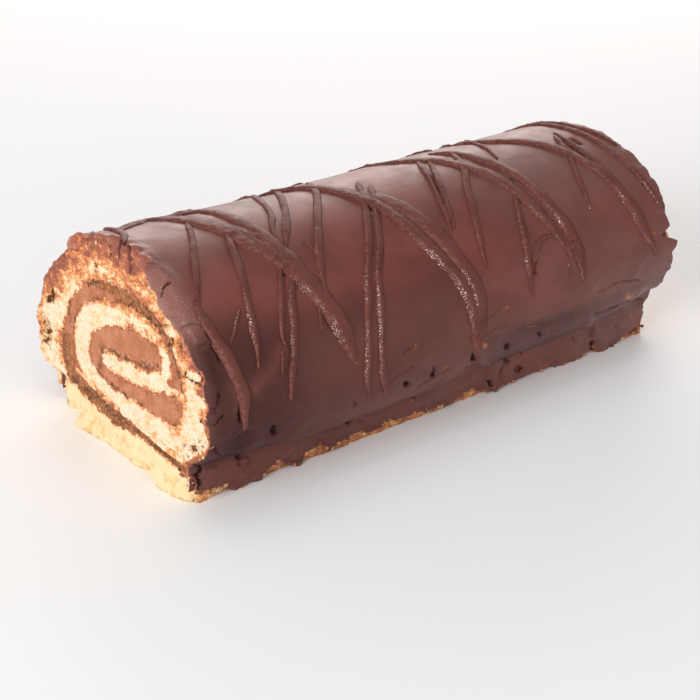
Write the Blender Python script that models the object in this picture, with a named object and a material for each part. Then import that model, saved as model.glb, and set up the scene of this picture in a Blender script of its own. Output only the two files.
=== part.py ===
"""Chocolate swiss roll: a rolled sponge sheet, its cocoa cream and a chocolate coat.

The roll lies along X, cut square at both ends. Its start end is at -X, the tucked
seam of the sheet is on the -Y side and the sheet's outer end is the flat base.
Sections are written in millimetres as (y, z) and turned into metres when built.
"""
import bmesh
import bpy
from mathutils import Vector

MM = 0.001
GAP = 0.3                    # clearance between touching pieces
STEPS = 4                    # curve samples between two path points

# Along the roll: x position, width factor, height factor.
STATIONS = (
    (-103.5, 1.000, 1.000),
    (-72.0, 0.995, 0.976),
    (-35.0, 0.988, 0.960),
    (45.0, 0.968, 0.957),
    (105.5, 0.952, 0.947),
)
START_LEAN = 0.06            # the start cut leans back by this much per mm of height
LEAN_ZERO_HEIGHT = 20.0      # height at which the start cut meets the first station

# The rolled sheet from its outer end (the base) to its inner tip: y, z, thickness.
SHEET_PATH = (
    # base layer
    (-38.8, 6.0, 12.0),
    (-20.0, 6.1, 12.2),
    (-9.0, 5.8, 11.6),
    (3.0, 4.5, 9.0),
    (12.0, 4.9, 9.8),
    (22.0, 5.5, 11.0),
    (28.6, 6.1, 12.0),
    (33.4, 8.3, 9.8),
    # outer turn: up the back, over the top, down the front
    (35.7, 12.3, 5.4),
    (41.0, 17.6, 8.6),
    (43.2, 26.0, 13.0),
    (42.5, 35.0, 13.4),
    (37.2, 46.0, 13.0),
    (28.4, 55.6, 13.0),
    (16.8, 62.2, 13.0),
    (4.5, 65.0, 13.2),
    (-8.0, 65.2, 12.4),
    (-20.5, 62.0, 11.2),
    (-31.2, 55.4, 12.2),
    (-39.0, 46.1, 13.2),
    (-42.1, 34.8, 15.4),
    (-39.4, 25.3, 12.4),
    # inner turn: along the bottom, up the back, over the core
    (-32.0, 20.7, 9.2),
    (-20.0, 20.0, 8.6),
    (-8.0, 19.2, 7.8),
    (3.0, 18.0, 7.9),
    (12.0, 18.3, 7.2),
    (20.3, 21.2, 9.6),
    (24.8, 28.3, 10.6),
    (23.9, 35.8, 10.8),
    (18.3, 42.0, 10.4),
    (10.0, 46.6, 9.4),
    (0.8, 49.6, 8.6),
    (-8.2, 51.4, 7.8),
    (-15.8, 51.2, 7.0),
    # tight inner fold and the tongue that ends the sheet
    (-21.6, 48.7, 6.0),
    (-25.0, 43.6, 5.4),
    (-24.2, 38.6, 6.4),
    (-18.6, 35.2, 7.4),
    (-10.0, 32.8, 7.2),
    (-1.0, 31.2, 7.4),
    (6.0, 30.2, 7.0),
    (10.4, 29.9, 4.8),
    (12.2, 29.9, 1.6),
)
FILLING_END_Y = -38.4        # where the cream stops, between base and inner turn
COAT_HEM_HEIGHT = 1.5        # the coat stops this far above the underside

# Outside of the coat from its back hem over the top to its front hem: y, z.
COAT_OUTLINE = (
    (38.6, COAT_HEM_HEIGHT),
    (40.4, 5.5),
    (40.3, 9.8),
    (43.4, 11.9),
    (47.5, 13.1),
    (50.6, 16.6),
    (52.2, 22.0),
    (52.6, 29.0),
    (51.6, 37.0),
    (48.2, 46.0),
    (42.4, 54.5),
    (35.0, 62.0),
    (24.5, 69.0),
    (12.0, 73.3),
    (-1.0, 74.5),
    (-13.0, 73.1),
    (-25.0, 69.2),
    (-36.3, 63.0),
    (-45.0, 54.2),
    (-50.2, 43.5),
    (-52.0, 33.0),
    (-50.2, 24.0),
    (-45.0, 18.2),
    (-41.2, 14.6),
    (-41.6, 10.5),
    (-41.4, 6.0),
    (-40.9, COAT_HEM_HEIGHT),
)
# Inside of the coat down the front of the base, below the front groove: y, z.
COAT_FRONT_LINING = (
    (-39.0, 16.4),
    (-38.7, 14.6),
    (-39.1, 12.2),
    (-39.1, COAT_HEM_HEIGHT),
)

COLORS = {
    "sponge": (0.86, 0.68, 0.42),
    "filling": (0.36, 0.17, 0.10),
    "coating": (0.10, 0.035, 0.025),
}
ROUGHNESS = {"sponge": 0.9, "filling": 0.6, "coating": 0.35}


def smooth_curve(points, steps):
    """Catmull-Rom curve through tuples of any length, ends included."""
    first = [2 * a - b for a, b in zip(points[0], points[1])]
    last = [2 * a - b for a, b in zip(points[-1], points[-2])]
    run = [first, *points, last]
    curve = []
    for i in range(1, len(run) - 2):
        for k in range(steps):
            t = k / steps
            curve.append(tuple(
                0.5 * (2 * b + (c - a) * t
                       + (2 * a - 5 * b + 4 * c - d) * t * t
                       + (3 * b - a - 3 * c + d) * t ** 3)
                for a, b, c, d in zip(*run[i - 1:i + 3])))
    curve.append(tuple(points[-1]))
    return curve


def sheet_sides():
    """Inner and outer side of the sheet, both from the base end to the tip."""
    curve = smooth_curve(SHEET_PATH, STEPS)
    inner, outer = [], []
    for i, (y, z, thick) in enumerate(curve):
        ahead = curve[min(i + 1, len(curve) - 1)]
        behind = curve[max(i - 1, 0)]
        along = Vector((ahead[0] - behind[0], ahead[1] - behind[1])).normalized()
        across = Vector((-along.y, along.x)) * (thick / 2)
        inner.append((y + across.x, max(z + across.y, 0.0)))
        outer.append((y - across.x, max(z - across.y, 0.0)))
    return inner, outer


def offset_open(points, distance):
    """Move an open run of points to its left by a distance."""
    moved = []
    for i, (y, z) in enumerate(points):
        ahead = points[min(i + 1, len(points) - 1)]
        behind = points[max(i - 1, 0)]
        along = Vector((ahead[0] - behind[0], ahead[1] - behind[1])).normalized()
        moved.append((y - along.y * distance, z + along.x * distance))
    return moved


def sheet_section():
    """The rolled sheet as one closed outline."""
    inner, outer = sheet_sides()
    return inner + outer[::-1]


def filling_section():
    """The cream: all the room between the turns of the sheet."""
    inner, outer = sheet_sides()
    last_outer = 22 * STEPS
    run = inner + outer[:last_outer - 1:-1]
    room = [p for p in offset_open(run, GAP) if p[0] >= FILLING_END_Y]
    base_top = inner[0][1] + GAP
    turn_under = room[-1][1] + 1.0
    return [(FILLING_END_Y, base_top), *room, (FILLING_END_Y, turn_under)]


def coat_section():
    """The chocolate: a shell around the outside of the sheet, open underneath."""
    outside = smooth_curve(COAT_OUTLINE, STEPS)
    outer = sheet_sides()[1]
    lining = offset_open(outer[6 * STEPS:22 * STEPS], -GAP)
    start = next(i for i, p in enumerate(lining) if p[1] > COAT_HEM_HEIGHT)
    below, above = lining[start - 1], lining[start]
    share = (COAT_HEM_HEIGHT - below[1]) / (above[1] - below[1])
    hem = (below[0] + share * (above[0] - below[0]), COAT_HEM_HEIGHT)
    groove_top = COAT_FRONT_LINING[0][1]
    around = [p for p in lining[start:] if p[0] > 0 or p[1] > groove_top + 0.8]
    inside = [hem, *around, *COAT_FRONT_LINING]
    return outside + inside[::-1]


def place(x, width, height, y, z, lean):
    """One section point at one station, in metres."""
    shift = lean * (z - LEAN_ZERO_HEIGHT)
    return ((x + shift) * MM, y * width * MM, z * height * MM)


def extrude_section(name, section, collection):
    """Run a closed section through every station and cap both ends."""
    mesh_data = bmesh.new()
    rings = []
    for number, (x, width, height) in enumerate(STATIONS):
        lean = START_LEAN if number == 0 else 0.0
        rings.append([mesh_data.verts.new(place(x, width, height, y, z, lean))
                      for y, z in section])
    count = len(section)
    for here, there in zip(rings, rings[1:]):
        for i in range(count):
            j = (i + 1) % count
            mesh_data.faces.new((here[i], here[j], there[j], there[i]))
    mesh_data.faces.new(rings[0][::-1])
    mesh_data.faces.new(rings[-1])
    bmesh.ops.recalc_face_normals(mesh_data, faces=mesh_data.faces)
    bmesh.ops.triangulate(mesh_data, faces=mesh_data.faces)
    mesh = bpy.data.meshes.new(name)
    mesh_data.to_mesh(mesh)
    mesh_data.free()
    piece = bpy.data.objects.new(name, mesh)
    piece.data.materials.append(make_material(name))
    collection.objects.link(piece)
    return piece


def make_material(name):
    """Plain Principled material for one piece."""
    material = bpy.data.materials.new(name)
    material.use_nodes = True
    shader = material.node_tree.nodes["Principled BSDF"]
    shader.inputs["Base Color"].default_value = (*COLORS[name], 1.0)
    shader.inputs["Roughness"].default_value = ROUGHNESS[name]
    return material


def centre_on_ground(pieces):
    """Move the pieces so that the origin is at their bottom centre."""
    corners = [vertex.co for piece in pieces for vertex in piece.data.vertices]
    low = [min(co[axis] for co in corners) for axis in range(3)]
    high = [max(co[axis] for co in corners) for axis in range(3)]
    middle = Vector(((low[0] + high[0]) / 2, (low[1] + high[1]) / 2, low[2]))
    for piece in pieces:
        piece.location = -middle


def main():
    for leftover in list(bpy.data.objects):
        bpy.data.objects.remove(leftover)
    roll = bpy.data.collections.new("swiss_roll")
    bpy.context.scene.collection.children.link(roll)
    pieces = [
        extrude_section("sponge", sheet_section(), roll),
        extrude_section("filling", filling_section(), roll),
        extrude_section("coating", coat_section(), roll),
    ]
    centre_on_ground(pieces)


main()
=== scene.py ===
"""Chocolate swiss roll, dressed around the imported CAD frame.

Shapes are written in millimetres in the CAD section's own frame, and moved into the
row frame when a mesh is made. x runs along the roll, y to the back and z up.
On the coat, u is the distance round its outline from the ridge, positive to the front.
On a cut, depth is the distance inwards from that outline.
A zone is four numbers for band(), which is 1 between the middle two.
"""
import math

import bmesh
import bpy
import numpy as np
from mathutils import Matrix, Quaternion, Vector
from mathutils.geometry import delaunay_2d_cdt
from mathutils.kdtree import KDTree


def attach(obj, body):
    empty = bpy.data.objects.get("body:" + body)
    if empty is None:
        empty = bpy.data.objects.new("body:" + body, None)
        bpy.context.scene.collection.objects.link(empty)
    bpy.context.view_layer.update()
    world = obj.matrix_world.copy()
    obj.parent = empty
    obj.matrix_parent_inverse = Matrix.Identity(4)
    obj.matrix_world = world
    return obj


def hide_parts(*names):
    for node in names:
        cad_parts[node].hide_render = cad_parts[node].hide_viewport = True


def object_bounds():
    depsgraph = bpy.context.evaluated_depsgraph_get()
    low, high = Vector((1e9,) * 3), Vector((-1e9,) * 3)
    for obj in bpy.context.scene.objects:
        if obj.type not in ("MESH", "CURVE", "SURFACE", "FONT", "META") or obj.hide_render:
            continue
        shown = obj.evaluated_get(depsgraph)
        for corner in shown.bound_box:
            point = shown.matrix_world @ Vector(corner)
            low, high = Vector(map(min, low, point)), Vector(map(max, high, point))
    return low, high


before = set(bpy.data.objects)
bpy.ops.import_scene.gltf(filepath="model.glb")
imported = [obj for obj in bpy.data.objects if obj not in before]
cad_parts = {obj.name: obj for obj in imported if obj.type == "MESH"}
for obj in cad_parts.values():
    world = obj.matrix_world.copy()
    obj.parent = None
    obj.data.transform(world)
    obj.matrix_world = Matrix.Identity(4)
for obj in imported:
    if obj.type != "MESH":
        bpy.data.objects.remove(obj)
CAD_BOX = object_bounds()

MM = 0.001
STEPS = 4                    # curve samples between two path points, as in the CAD

# ---------------------------------------------------------------- the CAD's section
STATIONS = (
    (-103.5, 1.000, 1.000),
    (-72.0, 0.995, 0.976),
    (-35.0, 0.988, 0.960),
    (45.0, 0.968, 0.957),
    (105.5, 0.952, 0.947),
)
NEAR, FAR = STATIONS[0][0], STATIONS[-1][0]
LEAN = 0.06                  # the near cut leans back by this much per mm of height
LEAN_ZERO_HEIGHT = 20.0
SHEET_PATH = (
    (-38.8, 6.0, 12.0), (-20.0, 6.1, 12.2), (-9.0, 5.8, 11.6), (3.0, 4.5, 9.0),
    (12.0, 4.9, 9.8), (22.0, 5.5, 11.0), (28.6, 6.1, 12.0), (33.4, 8.3, 9.8),
    (35.7, 12.3, 5.4), (41.0, 17.6, 8.6), (43.2, 26.0, 13.0), (42.5, 35.0, 13.4),
    (37.2, 46.0, 13.0), (28.4, 55.6, 13.0), (16.8, 62.2, 13.0), (4.5, 65.0, 13.2),
    (-8.0, 65.2, 12.4), (-20.5, 62.0, 11.2), (-31.2, 55.4, 12.2), (-39.0, 46.1, 13.2),
    (-42.1, 34.8, 15.4), (-39.4, 25.3, 12.4),
    (-32.0, 20.7, 9.2), (-20.0, 20.0, 8.6), (-8.0, 19.2, 7.8), (3.0, 18.0, 7.9),
    (12.0, 18.3, 7.2), (20.3, 21.2, 9.6), (24.8, 28.3, 10.6), (23.9, 35.8, 10.8),
    (18.3, 42.0, 10.4), (10.0, 46.6, 9.4), (0.8, 49.6, 8.6), (-8.2, 51.4, 7.8),
    (-15.8, 51.2, 7.0), (-21.6, 48.7, 6.0), (-25.0, 43.6, 5.4), (-24.2, 38.6, 6.4),
    (-18.6, 35.2, 7.4), (-10.0, 32.8, 7.2), (-1.0, 31.2, 7.4), (6.0, 30.2, 7.0),
    (10.4, 29.9, 4.8), (12.2, 29.9, 1.6),
)
INNER_TURN = 22              # path point where the sheet turns in under the roll
COAT_OUTLINE = (
    (38.6, 1.5), (40.4, 5.5), (40.3, 9.8), (43.4, 11.9), (47.5, 13.1), (50.6, 16.6),
    (52.2, 22.0), (52.6, 29.0), (51.6, 37.0), (48.2, 46.0), (42.4, 54.5), (35.0, 62.0),
    (24.5, 69.0), (12.0, 73.3), (-1.0, 74.5), (-13.0, 73.1), (-25.0, 69.2),
    (-36.3, 63.0), (-45.0, 54.2), (-50.2, 43.5), (-52.0, 33.0), (-50.2, 24.0),
    (-45.0, 18.2), (-41.2, 14.6), (-41.6, 10.5), (-41.4, 6.0), (-40.9, 1.5),
)
RIDGE = 14                   # outline point where u is zero
ROW_SHIFT = np.array((       # from the section's frame to the row frame
    (CAD_BOX[0].x + CAD_BOX[1].x) / 2 / MM - 0.4,
    (CAD_BOX[0].y + CAD_BOX[1].y) / 2 / MM - 0.31,
    0,
))


# ---------------------------------------------------------------- number tools
def smooth_curve(points, steps):
    """Catmull-Rom curve through the rows of an array, ends included."""
    p = np.asarray(points, float)
    run = np.vstack((2 * p[0] - p[1], p, 2 * p[-1] - p[-2]))
    t = (np.arange(steps) / steps)[None, :, None]
    a, b, c, d = (run[i:len(run) - 3 + i][:, None, :] for i in range(4))
    curve = 0.5 * (2 * b + (c - a) * t + (2 * a - 5 * b + 4 * c - d) * t * t
                   + (3 * b - a - 3 * c + d) * t ** 3)
    return np.vstack((curve.reshape(-1, p.shape[1]), p[-1]))


def run_length(points):
    """Distance along a run of points, starting at zero."""
    steps = np.linalg.norm(np.diff(points, axis=0), axis=1)
    return np.concatenate(([0.0], np.cumsum(steps)))


def resample(points, spacing):
    """The same run of points at an even spacing, ends kept."""
    length = run_length(points)
    count = max(2, int(round(length[-1] / spacing)) + 1)
    at = np.linspace(0, length[-1], count)
    return np.stack([np.interp(at, length, column) for column in points.T], axis=1)


def unit(rows):
    """Rows scaled to length 1."""
    return rows / np.linalg.norm(rows, axis=1)[:, None]


def look_up(table, value):
    """A table's second column at values of its first."""
    return np.interp(value, *zip(*table))


def smoothstep(value, low, high):
    """0 below low, 1 above high and smooth between."""
    t = np.clip((value - low) / (high - low), 0, 1)
    return t * t * (3 - 2 * t)


def band(value, rise, full, fall, end):
    """1 from full to fall, 0 before rise and after end."""
    return smoothstep(value, rise, full) * (1 - smoothstep(value, fall, end))


def hump(value, middle, half, power=2):
    """Bell of height 1 round a middle; a higher power squares its shoulders."""
    return np.exp(-((value - middle) / half) ** power)


def dying(distance, reach):
    """1 up to distance 0, then dying away over a reach."""
    return np.exp(-np.clip(distance, 0, None) / reach)


def lattice_value(cell, seed):
    """Fixed random value from -1 to 1 for whole-number cells."""
    h = cell[..., 0] * 374761393 + cell[..., 1] * 668265263 + cell[..., 2] * 974634777
    h = (h + seed * 1274126177) & 0xFFFFFFFF
    h = ((h ^ (h >> 13)) * 1103515245) & 0xFFFFFFFF
    h = ((h ^ (h >> 15)) * 12820163) & 0xFFFFFFFF
    return ((h >> 8) & 0xFFFF) / 32767.5 - 1


def value_noise(points, seed):
    """Smooth noise from -1 to 1 with cells of size 1."""
    cell = np.floor(points).astype(np.int64)
    part = points - cell
    part = part * part * (3 - 2 * part)
    total = 0.0
    for corner in range(8):
        bits = np.array([(corner >> k) & 1 for k in range(3)])
        weight = np.prod(np.where(bits, part, 1 - part), axis=-1)
        total = total + weight * lattice_value(cell + bits, seed)
    return total


def fbm(points, size, octaves, seed):
    """Layered noise from -1 to 1; size is the largest cell in mm."""
    total, reach = 0.0, 0.0
    for k in range(octaves):
        total = total + value_noise(points * (2 ** k / size), seed + k) * 0.5 ** k
        reach += 0.5 ** k
    return total / reach


def layers(points, table):
    """Sum of noises from a table of height, size, octaves, seed."""
    return sum(height * fbm(points, size, octaves, seed)
               for height, size, octaves, seed in table)


def flat(a, b=0.0, c=0.0):
    """Stack up to three arrays into noise points."""
    return np.stack(np.broadcast_arrays(a, b, c), axis=-1).astype(float)


def spots(a, b, size, seed):
    """Distance in cells to the nearest of one scattered centre per cell, and its value."""
    cell = np.floor(np.stack((a, b), axis=-1) / size).astype(np.int64)
    best = np.full(a.shape, 9.0)
    value = np.zeros(a.shape)
    for step in np.ndindex(3, 3):
        near = cell + np.array(step) - 1
        ca, cb, pick = (lattice_value(flat(near[..., 0], near[..., 1], k).astype(np.int64), seed)
                        for k in (1, 2, 3))
        dist = np.hypot(a / size - near[..., 0] - 0.5 - 0.4 * ca,
                        b / size - near[..., 1] - 0.5 - 0.4 * cb)
        value = np.where(dist < best, pick, value)
        best = np.minimum(best, dist)
    return best, value


def line_distance(a, b, points):
    """Distance from every (a, b) to an open run of points."""
    best = np.full(np.broadcast(a, b).shape, 1e9)
    for (a0, b0), (a1, b1) in zip(points[:-1], points[1:]):
        da, db = a1 - a0, b1 - b0
        t = np.clip(((a - a0) * da + (b - b0) * db) / (da * da + db * db), 0, 1)
        best = np.minimum(best, np.hypot(a - a0 - t * da, b - b0 - t * db))
    return best


def near_line(a, b, points, half, power=2):
    """1 on a line, falling off over its half width."""
    return hump(line_distance(a, b, points), 0, half, power)


def nearest(points, run):
    """Distance to, and number of, the nearest point of a run, for each point."""
    tree = KDTree(len(run))
    for i, (y, z) in enumerate(run):
        tree.insert((y, z, 0), i)
    tree.balance()
    found = [tree.find((y, z, 0)) for y, z in points]
    return np.array([f[2] for f in found]), np.array([f[1] for f in found])


def in_polygon(a, b, loop):
    """Even-odd test of many points against one closed loop."""
    inside = np.zeros(a.shape, bool)
    for (a0, b0), (a1, b1) in zip(loop, np.roll(loop, -1, axis=0)):
        if b0 == b1:
            continue
        crosses = (b0 > b) != (b1 > b)
        inside ^= crosses & (a < (a1 - a0) * (b - b0) / (b1 - b0) + a0)
    return inside


# ---------------------------------------------------------------- the coat's outline
FINE = 12                    # curve samples between two outline points
FLOOR_GAP = 0.1              # the outline is carried on down to this height
OUTLINE = np.vstack((
    (COAT_OUTLINE[0][0], FLOOR_GAP),
    smooth_curve(COAT_OUTLINE, FINE),
    (COAT_OUTLINE[-1][0], FLOOR_GAP),
))
OUTLINE_U = run_length(OUTLINE)
OUTLINE_U = OUTLINE_U - OUTLINE_U[1 + RIDGE * FINE]
TANGENT = np.gradient(OUTLINE, axis=0)
NORMAL = unit(np.stack((TANGENT[:, 1], -TANGENT[:, 0]), axis=1))
U_BACK, U_FRONT = OUTLINE_U[1], OUTLINE_U[-2]


def outline_at(u):
    """Section point and outward normal of the coat at u."""
    y, z, ny, nz = (np.interp(u, OUTLINE_U, column) for column in (*OUTLINE.T, *NORMAL.T))
    size = np.hypot(ny, nz)
    return y, z, ny / size, nz / size


def inset_at(u, inset):
    """Section point at an inset from the coat's outline."""
    y, z, ny, nz = outline_at(u)
    return y - ny * inset, z - nz * inset


def place(x, y, z):
    """Section points at x along the roll, with the roll's taper and leaning cut."""
    stations = np.array(STATIONS)
    width = np.interp(x, stations[:, 0], stations[:, 1])
    height = np.interp(x, stations[:, 0], stations[:, 2])
    share = np.clip((stations[1, 0] - x) / (stations[1, 0] - NEAR), 0, 1)
    shift = LEAN * (z - LEAN_ZERO_HEIGHT) * share
    return np.stack(np.broadcast_arrays(x + shift, y * width, z * height), axis=-1)


# ---------------------------------------------------------------- marks of the coat
# Chocolate held in the front groove: x, share of the groove filled.
GROOVE_FILL = ((-104, 0.0), (-92, 0.1), (-84, 0.4), (-70, 0.8), (-60, 1.0), (0, 0.9), (6, 0.5),
               (30, 0.5), (45, 0.45), (62, 0.25), (76, 0.0), (105, 0.0))
# Lower edge of the coat on the front and on the back: x, distance from the ridge.
FRONT_HEM = (
    (-105, 103.5), (-100, 104), (-95, 105), (-92, 105.5), (-88, 107), (-86.5, 108.5),
    (-85, 109.5), (-79, 108.5), (-76, 110.5), (-74.8, 110.5), (-74, 106), (-72, 105),
    (-70, 103.5), (-67.5, 105), (-65, 107), (-62, 108.5), (-58.5, 110), (-57.8, 106),
    (-56, 104.5), (-54, 104.5), (-52, 103), (-49.5, 104.5), (-48.5, 107.5), (-46.5, 108),
    (-45.5, 106.5), (-42, 105.5), (-38, 104.8), (-32, 105), (-31, 106.5), (-28, 107),
    (-25.5, 106), (-24, 105), (-15, 105.5), (-8, 106), (-3, 107), (2, 107.5), (8, 107.5),
    (13, 106), (17, 105), (20, 106), (23, 108), (26, 109), (32, 108.5), (38, 108.8),
    (50, 108), (60, 109), (62, 110.5), (72, 110.5), (75, 107.5), (78, 106), (79.5, 108),
    (81, 110), (88, 110), (92, 108.5), (97, 107.5), (101, 106), (106, 105),
)
BACK_HEM = ((-105, 106), (-90, 108.5), (-72, 110), (-60, 107), (-48, 109), (-30, 110.5),
            (-12, 107.5), (6, 110), (22, 109), (40, 111), (58, 108), (75, 110), (106, 108))
# Raised folds and sunken lines of the coat: half width, height, then x, u points.
FOLDS = (
    (2.4, 1.7, ((64, 85), (73, 92), (78, 101), (83, 107), (82.6, 112))),
    (2.2, 1.2, ((6, 72), (7.5, 76), (10, 81), (24, 96.5), (25.5, 102), (28, 108))),
    (1.2, -2.2, ((68, 82), (76, 84), (85, 85), (95, 92), (104, 94))),
    (1.4, -1.0, ((28, 75), (38, 77), (50, 77), (60, 77))),
    (0.8, -0.9, ((-16, 85), (-4, 81))),
    (1.6, 0.5, ((8, 69.5), (20, 68.5), (34, 66.5), (50, 65.5), (64, 66.5))),
    (2.0, 0.5, ((-103, 75), (-97, 73.5), (-90, 74.5), (-82, 73), (-72, 71.5), (-60, 72))),
    (2.3, 1.1, ((-86, 62), (-80, 59), (-74, 54.5), (-72.4, 52.6))),
    (1.5, 0.35, ((60, 69), (66, 62), (74, 56))),
    (1.4, 0.35, ((70, 72), (76, 65), (84, 59))),
    (1.4, 0.35, ((84, 70), (88, 64), (93, 60))),
    (1.2, 0.3, ((46, 64), (50, 60), (53, 55))),
)
# Creases, slits and holes of the coat, sunk and darkened with painted shade: half width, depth,
# then x, u points.
CREASES = (
    (0.5, 0.7, ((-11.8, 76.8), (-11, 80))),
    (1.1, 1.0, ((-11.2, 80.5), (-10, 83.5))),
    (1.0, 1.0, ((-23.6, 80), (-22, 82.5))),
    (0.8, 0.6, ((-45.2, 80.5), (-43.8, 83))),
    (1.0, 1.0, ((-78.7, 79.3), (-77.2, 83))),
    (1.2, 1.0, ((6, 76.8), (7, 81))),
    (1.1, 1.0, ((23, 80), (24.5, 84))),
    (1.0, 0.8, ((38.5, 80.5), (40, 83))),
    (0.45, 0.5, ((5.3, 65), (12, 64.7), (17.5, 64))),
    (0.5, 0.45, ((9, 71.2), (14, 70), (20, 69.8))),
    (0.45, 0.55, ((66.5, 70.3), (71, 69.3), (75, 68.5), (79, 69.3), (83, 70), (87.5, 72))),
    (0.9, 0.9, ((68, 81.6), (76, 81), (85, 81.6))),
    (0.9, 1.0, ((-42, 96.4), (-41, 98.4))),
    (0.7, 0.7, ((-37, 96), (-34.5, 97))),
    (0.6, 0.6, ((-37.2, 98.6), (-36.2, 100))),
    (1.1, 1.0, ((-14, 96.8), (-12.3, 98))),
    (1.5, 0.7, ((31, 96.5), (32.6, 98.4))),
    (0.7, 0.9, ((38.8, 95.8), (39.3, 98))),
    (1.3, 1.0, ((38.6, 102.8), (41.2, 105.2))),
    (0.9, 0.9, ((24.8, 104), (26.4, 106.6))),
    (1.3, 0.9, ((77, 104.6), (78, 107.6))),
    (0.8, 0.5, ((65.3, 98.6), (65.8, 99.6))),
    (1.0, 0.4, ((88.8, 100.4), (89.6, 101.6))),
    (0.8, 0.9, ((-85.4, 95.6), (-85, 97.2))),
    (0.6, 0.9, ((-92.9, 64), (-93.4, 68))),
    (0.9, 1.0, ((-94, 68.6), (-93.2, 71.4))),
    (0.4, 0.8, ((-103.4, 70), (-102, 68.4), (-100, 67.6))),
    (0.4, 0.7, ((-103.6, 66), (-102.4, 63), (-101.2, 61))),
    (0.35, 0.45, ((-31.5, 76.5), (-26.5, 74.8), (-21.5, 73))),
    (0.4, 0.6, ((-26, 66.8), (-22.5, 66.2))),
    (1.2, 0.5, ((74.6, 94.5), (74.8, 101))),
    (0.7, 0.6, ((30.6, 97), (29.6, 104))),
    (0.8, 0.7, ((-103, 79), (-101, 81.5), (-99, 84))),
    (0.5, 0.5, ((-96, 75.6), (-94.5, 75))),
    (0.9, 1.0, ((4.3, 70.2), (5.2, 72))),
    (0.45, 0.6, ((-85.3, 98.2), (-84.8, 99.6), (-83.5, 100.2), (-82.1, 99.6), (-81.8, 98.2),
                 (-82.7, 97))),
    (0.7, 0.9, ((-65.3, 6.2), (-65.6, 8.2))),
    (0.6, 0.9, ((-58.6, 10.6), (-58.2, 14))),
    (0.7, 0.8, ((-59, 26.4), (-60, 28.4))),
    (0.7, 0.9, ((-57.2, 33), (-57.4, 34.6))),
    (0.8, 0.9, ((-53, 47), (-52.4, 49.4))),
    (0.7, 0.9, ((-9.8, 8.8), (-11.4, 11.6))),
    (0.6, 0.8, ((-9.6, 13.4), (-10, 15))),
    (0.7, 1.0, ((-100.2, 41.6), (-99, 46), (-97.6, 50))),
    (0.6, 0.9, ((50, 15.4), (50.4, 17.4))),
    (0.7, 0.9, ((45.4, 26), (46, 27.4))),
    (0.6, 0.9, ((55.6, 45), (56.8, 52), (57.4, 57))),
    (0.6, 0.8, ((22, 4), (18.6, 12), (15.6, 19))),
    (0.5, 0.9, ((86, 4), (86.8, 10), (87.2, 15.5))),
    (0.6, 0.8, ((91, 3), (91, 7.5))),
    (0.5, 0.8, ((60, 52.4), (59, 56), (58.2, 61))),
    (0.6, 0.9, ((36, 54.6), (37.6, 51))),
)
# Crumbs and rusty breaks that show through the coat: half width, strength, x, u points.
FLECKS = (
    (0.6, 0.6, ((-18.3, 84.5), (-13.4, 81.2))),
    (0.5, 0.6, ((-8.6, 80), (-3.4, 78.5))),
    (1.0, 0.9, ((9.8, 74.8), (11, 75.6))),
    (0.9, 0.8, ((-36.6, 95.6), (-34, 96.2))),
    (0.6, 0.7, ((-21.8, 66.1), (-20.8, 65.4))),
    (0.7, 0.7, ((38.6, 97.6), (39.6, 98.6))),
    (1.1, 0.8, ((78.6, 107.4), (80, 108.8))),
    (0.9, 0.7, ((-13.4, 98.6), (-12.4, 99))),
    (2.0, 0.7, ((82.6, 77), (84.4, 79.4), (86, 80))),
    (0.6, 0.5, ((-45.8, 64.2), (-45, 65))),
    (1.0, 0.5, ((20, 63.9), (20.8, 64.3))),
    (0.9, 0.6, ((92, 54), (96, 54.6), (99.5, 55.4))),
    (1.3, 0.35, ((5.5, 100.6), (11, 101.4))),
    (1.3, 0.4, ((16, 99.5), (18.5, 99.8))),
    (2.0, 0.4, ((50.5, 106.4), (54.5, 107.6))),
    (1.6, 0.5, ((99, 97), (101, 100), (101.5, 104), (100, 107))),
    (0.6, 0.5, ((53.8, 2.2), (54.4, 2.6))),
)
# Where the painted shade is lifted, so the brown stays warmer: half width, strength, x, u points.
WARM = (
    (3.2, 0.9, ((-86, 62), (-80, 59), (-74, 54.5))),
    (3.0, 0.9, ((-93.6, 60), (-93.2, 67))),
    (2.0, 0.6, ((-96, 44), (-94, 52))),
)
# Cavities and dimples of the coat: x, u, radius, depth.
PITS = (
    (9, 87, 2.0, 1.8), (40, 105, 1.6, 1.0), (70, 88, 1.4, 1.2), (-31, 77, 1.2, 0.5),
    (-35, 100, 1.0, 0.8), (-90, 79, 4.5, 1.0), (-79.5, 80.5, 2.6, 1.0), (-71, 83, 3.0, 1.0),
    (-75, 90, 4.0, 0.6), (-60, 84, 4.5, 0.5),
    (35, 76, 4.0, 0.5), (50, 77, 5.0, 0.5), (89, 101, 2.0, 0.6), (65.5, 99, 1.6, 0.6),
    (-83.6, 98.4, 1.5, -1.3), (-82, 101.5, 1.5, 0.4),
)
# Silhouette of the coat's near end: u, how far it stands out.
NEAR_SHAPE = (
    (-112, 0.0), (-97, 0.0), (-95, 1.2), (-93.5, 0.0), (-91.5, 1.2), (-90, -0.6), (-88, 0.3),
    (-84, -0.7), (-80, 0.9), (-76, 0.2), (-72, -1.2), (-69.5, -1.8), (-67.8, -4.4),
    (-66.5, -0.4), (-64, 0.4), (-60, -0.4), (-55, -0.6), (-50, -2.0), (-45, -2.4),
    (-42.5, -1.6), (-40.5, 0.4), (-36, 1.1), (-31.5, 0.8), (-30, -1.0), (-26.5, -1.8),
    (-22, -0.7), (-14, 0.0), (112, 0.0),
)
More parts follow.
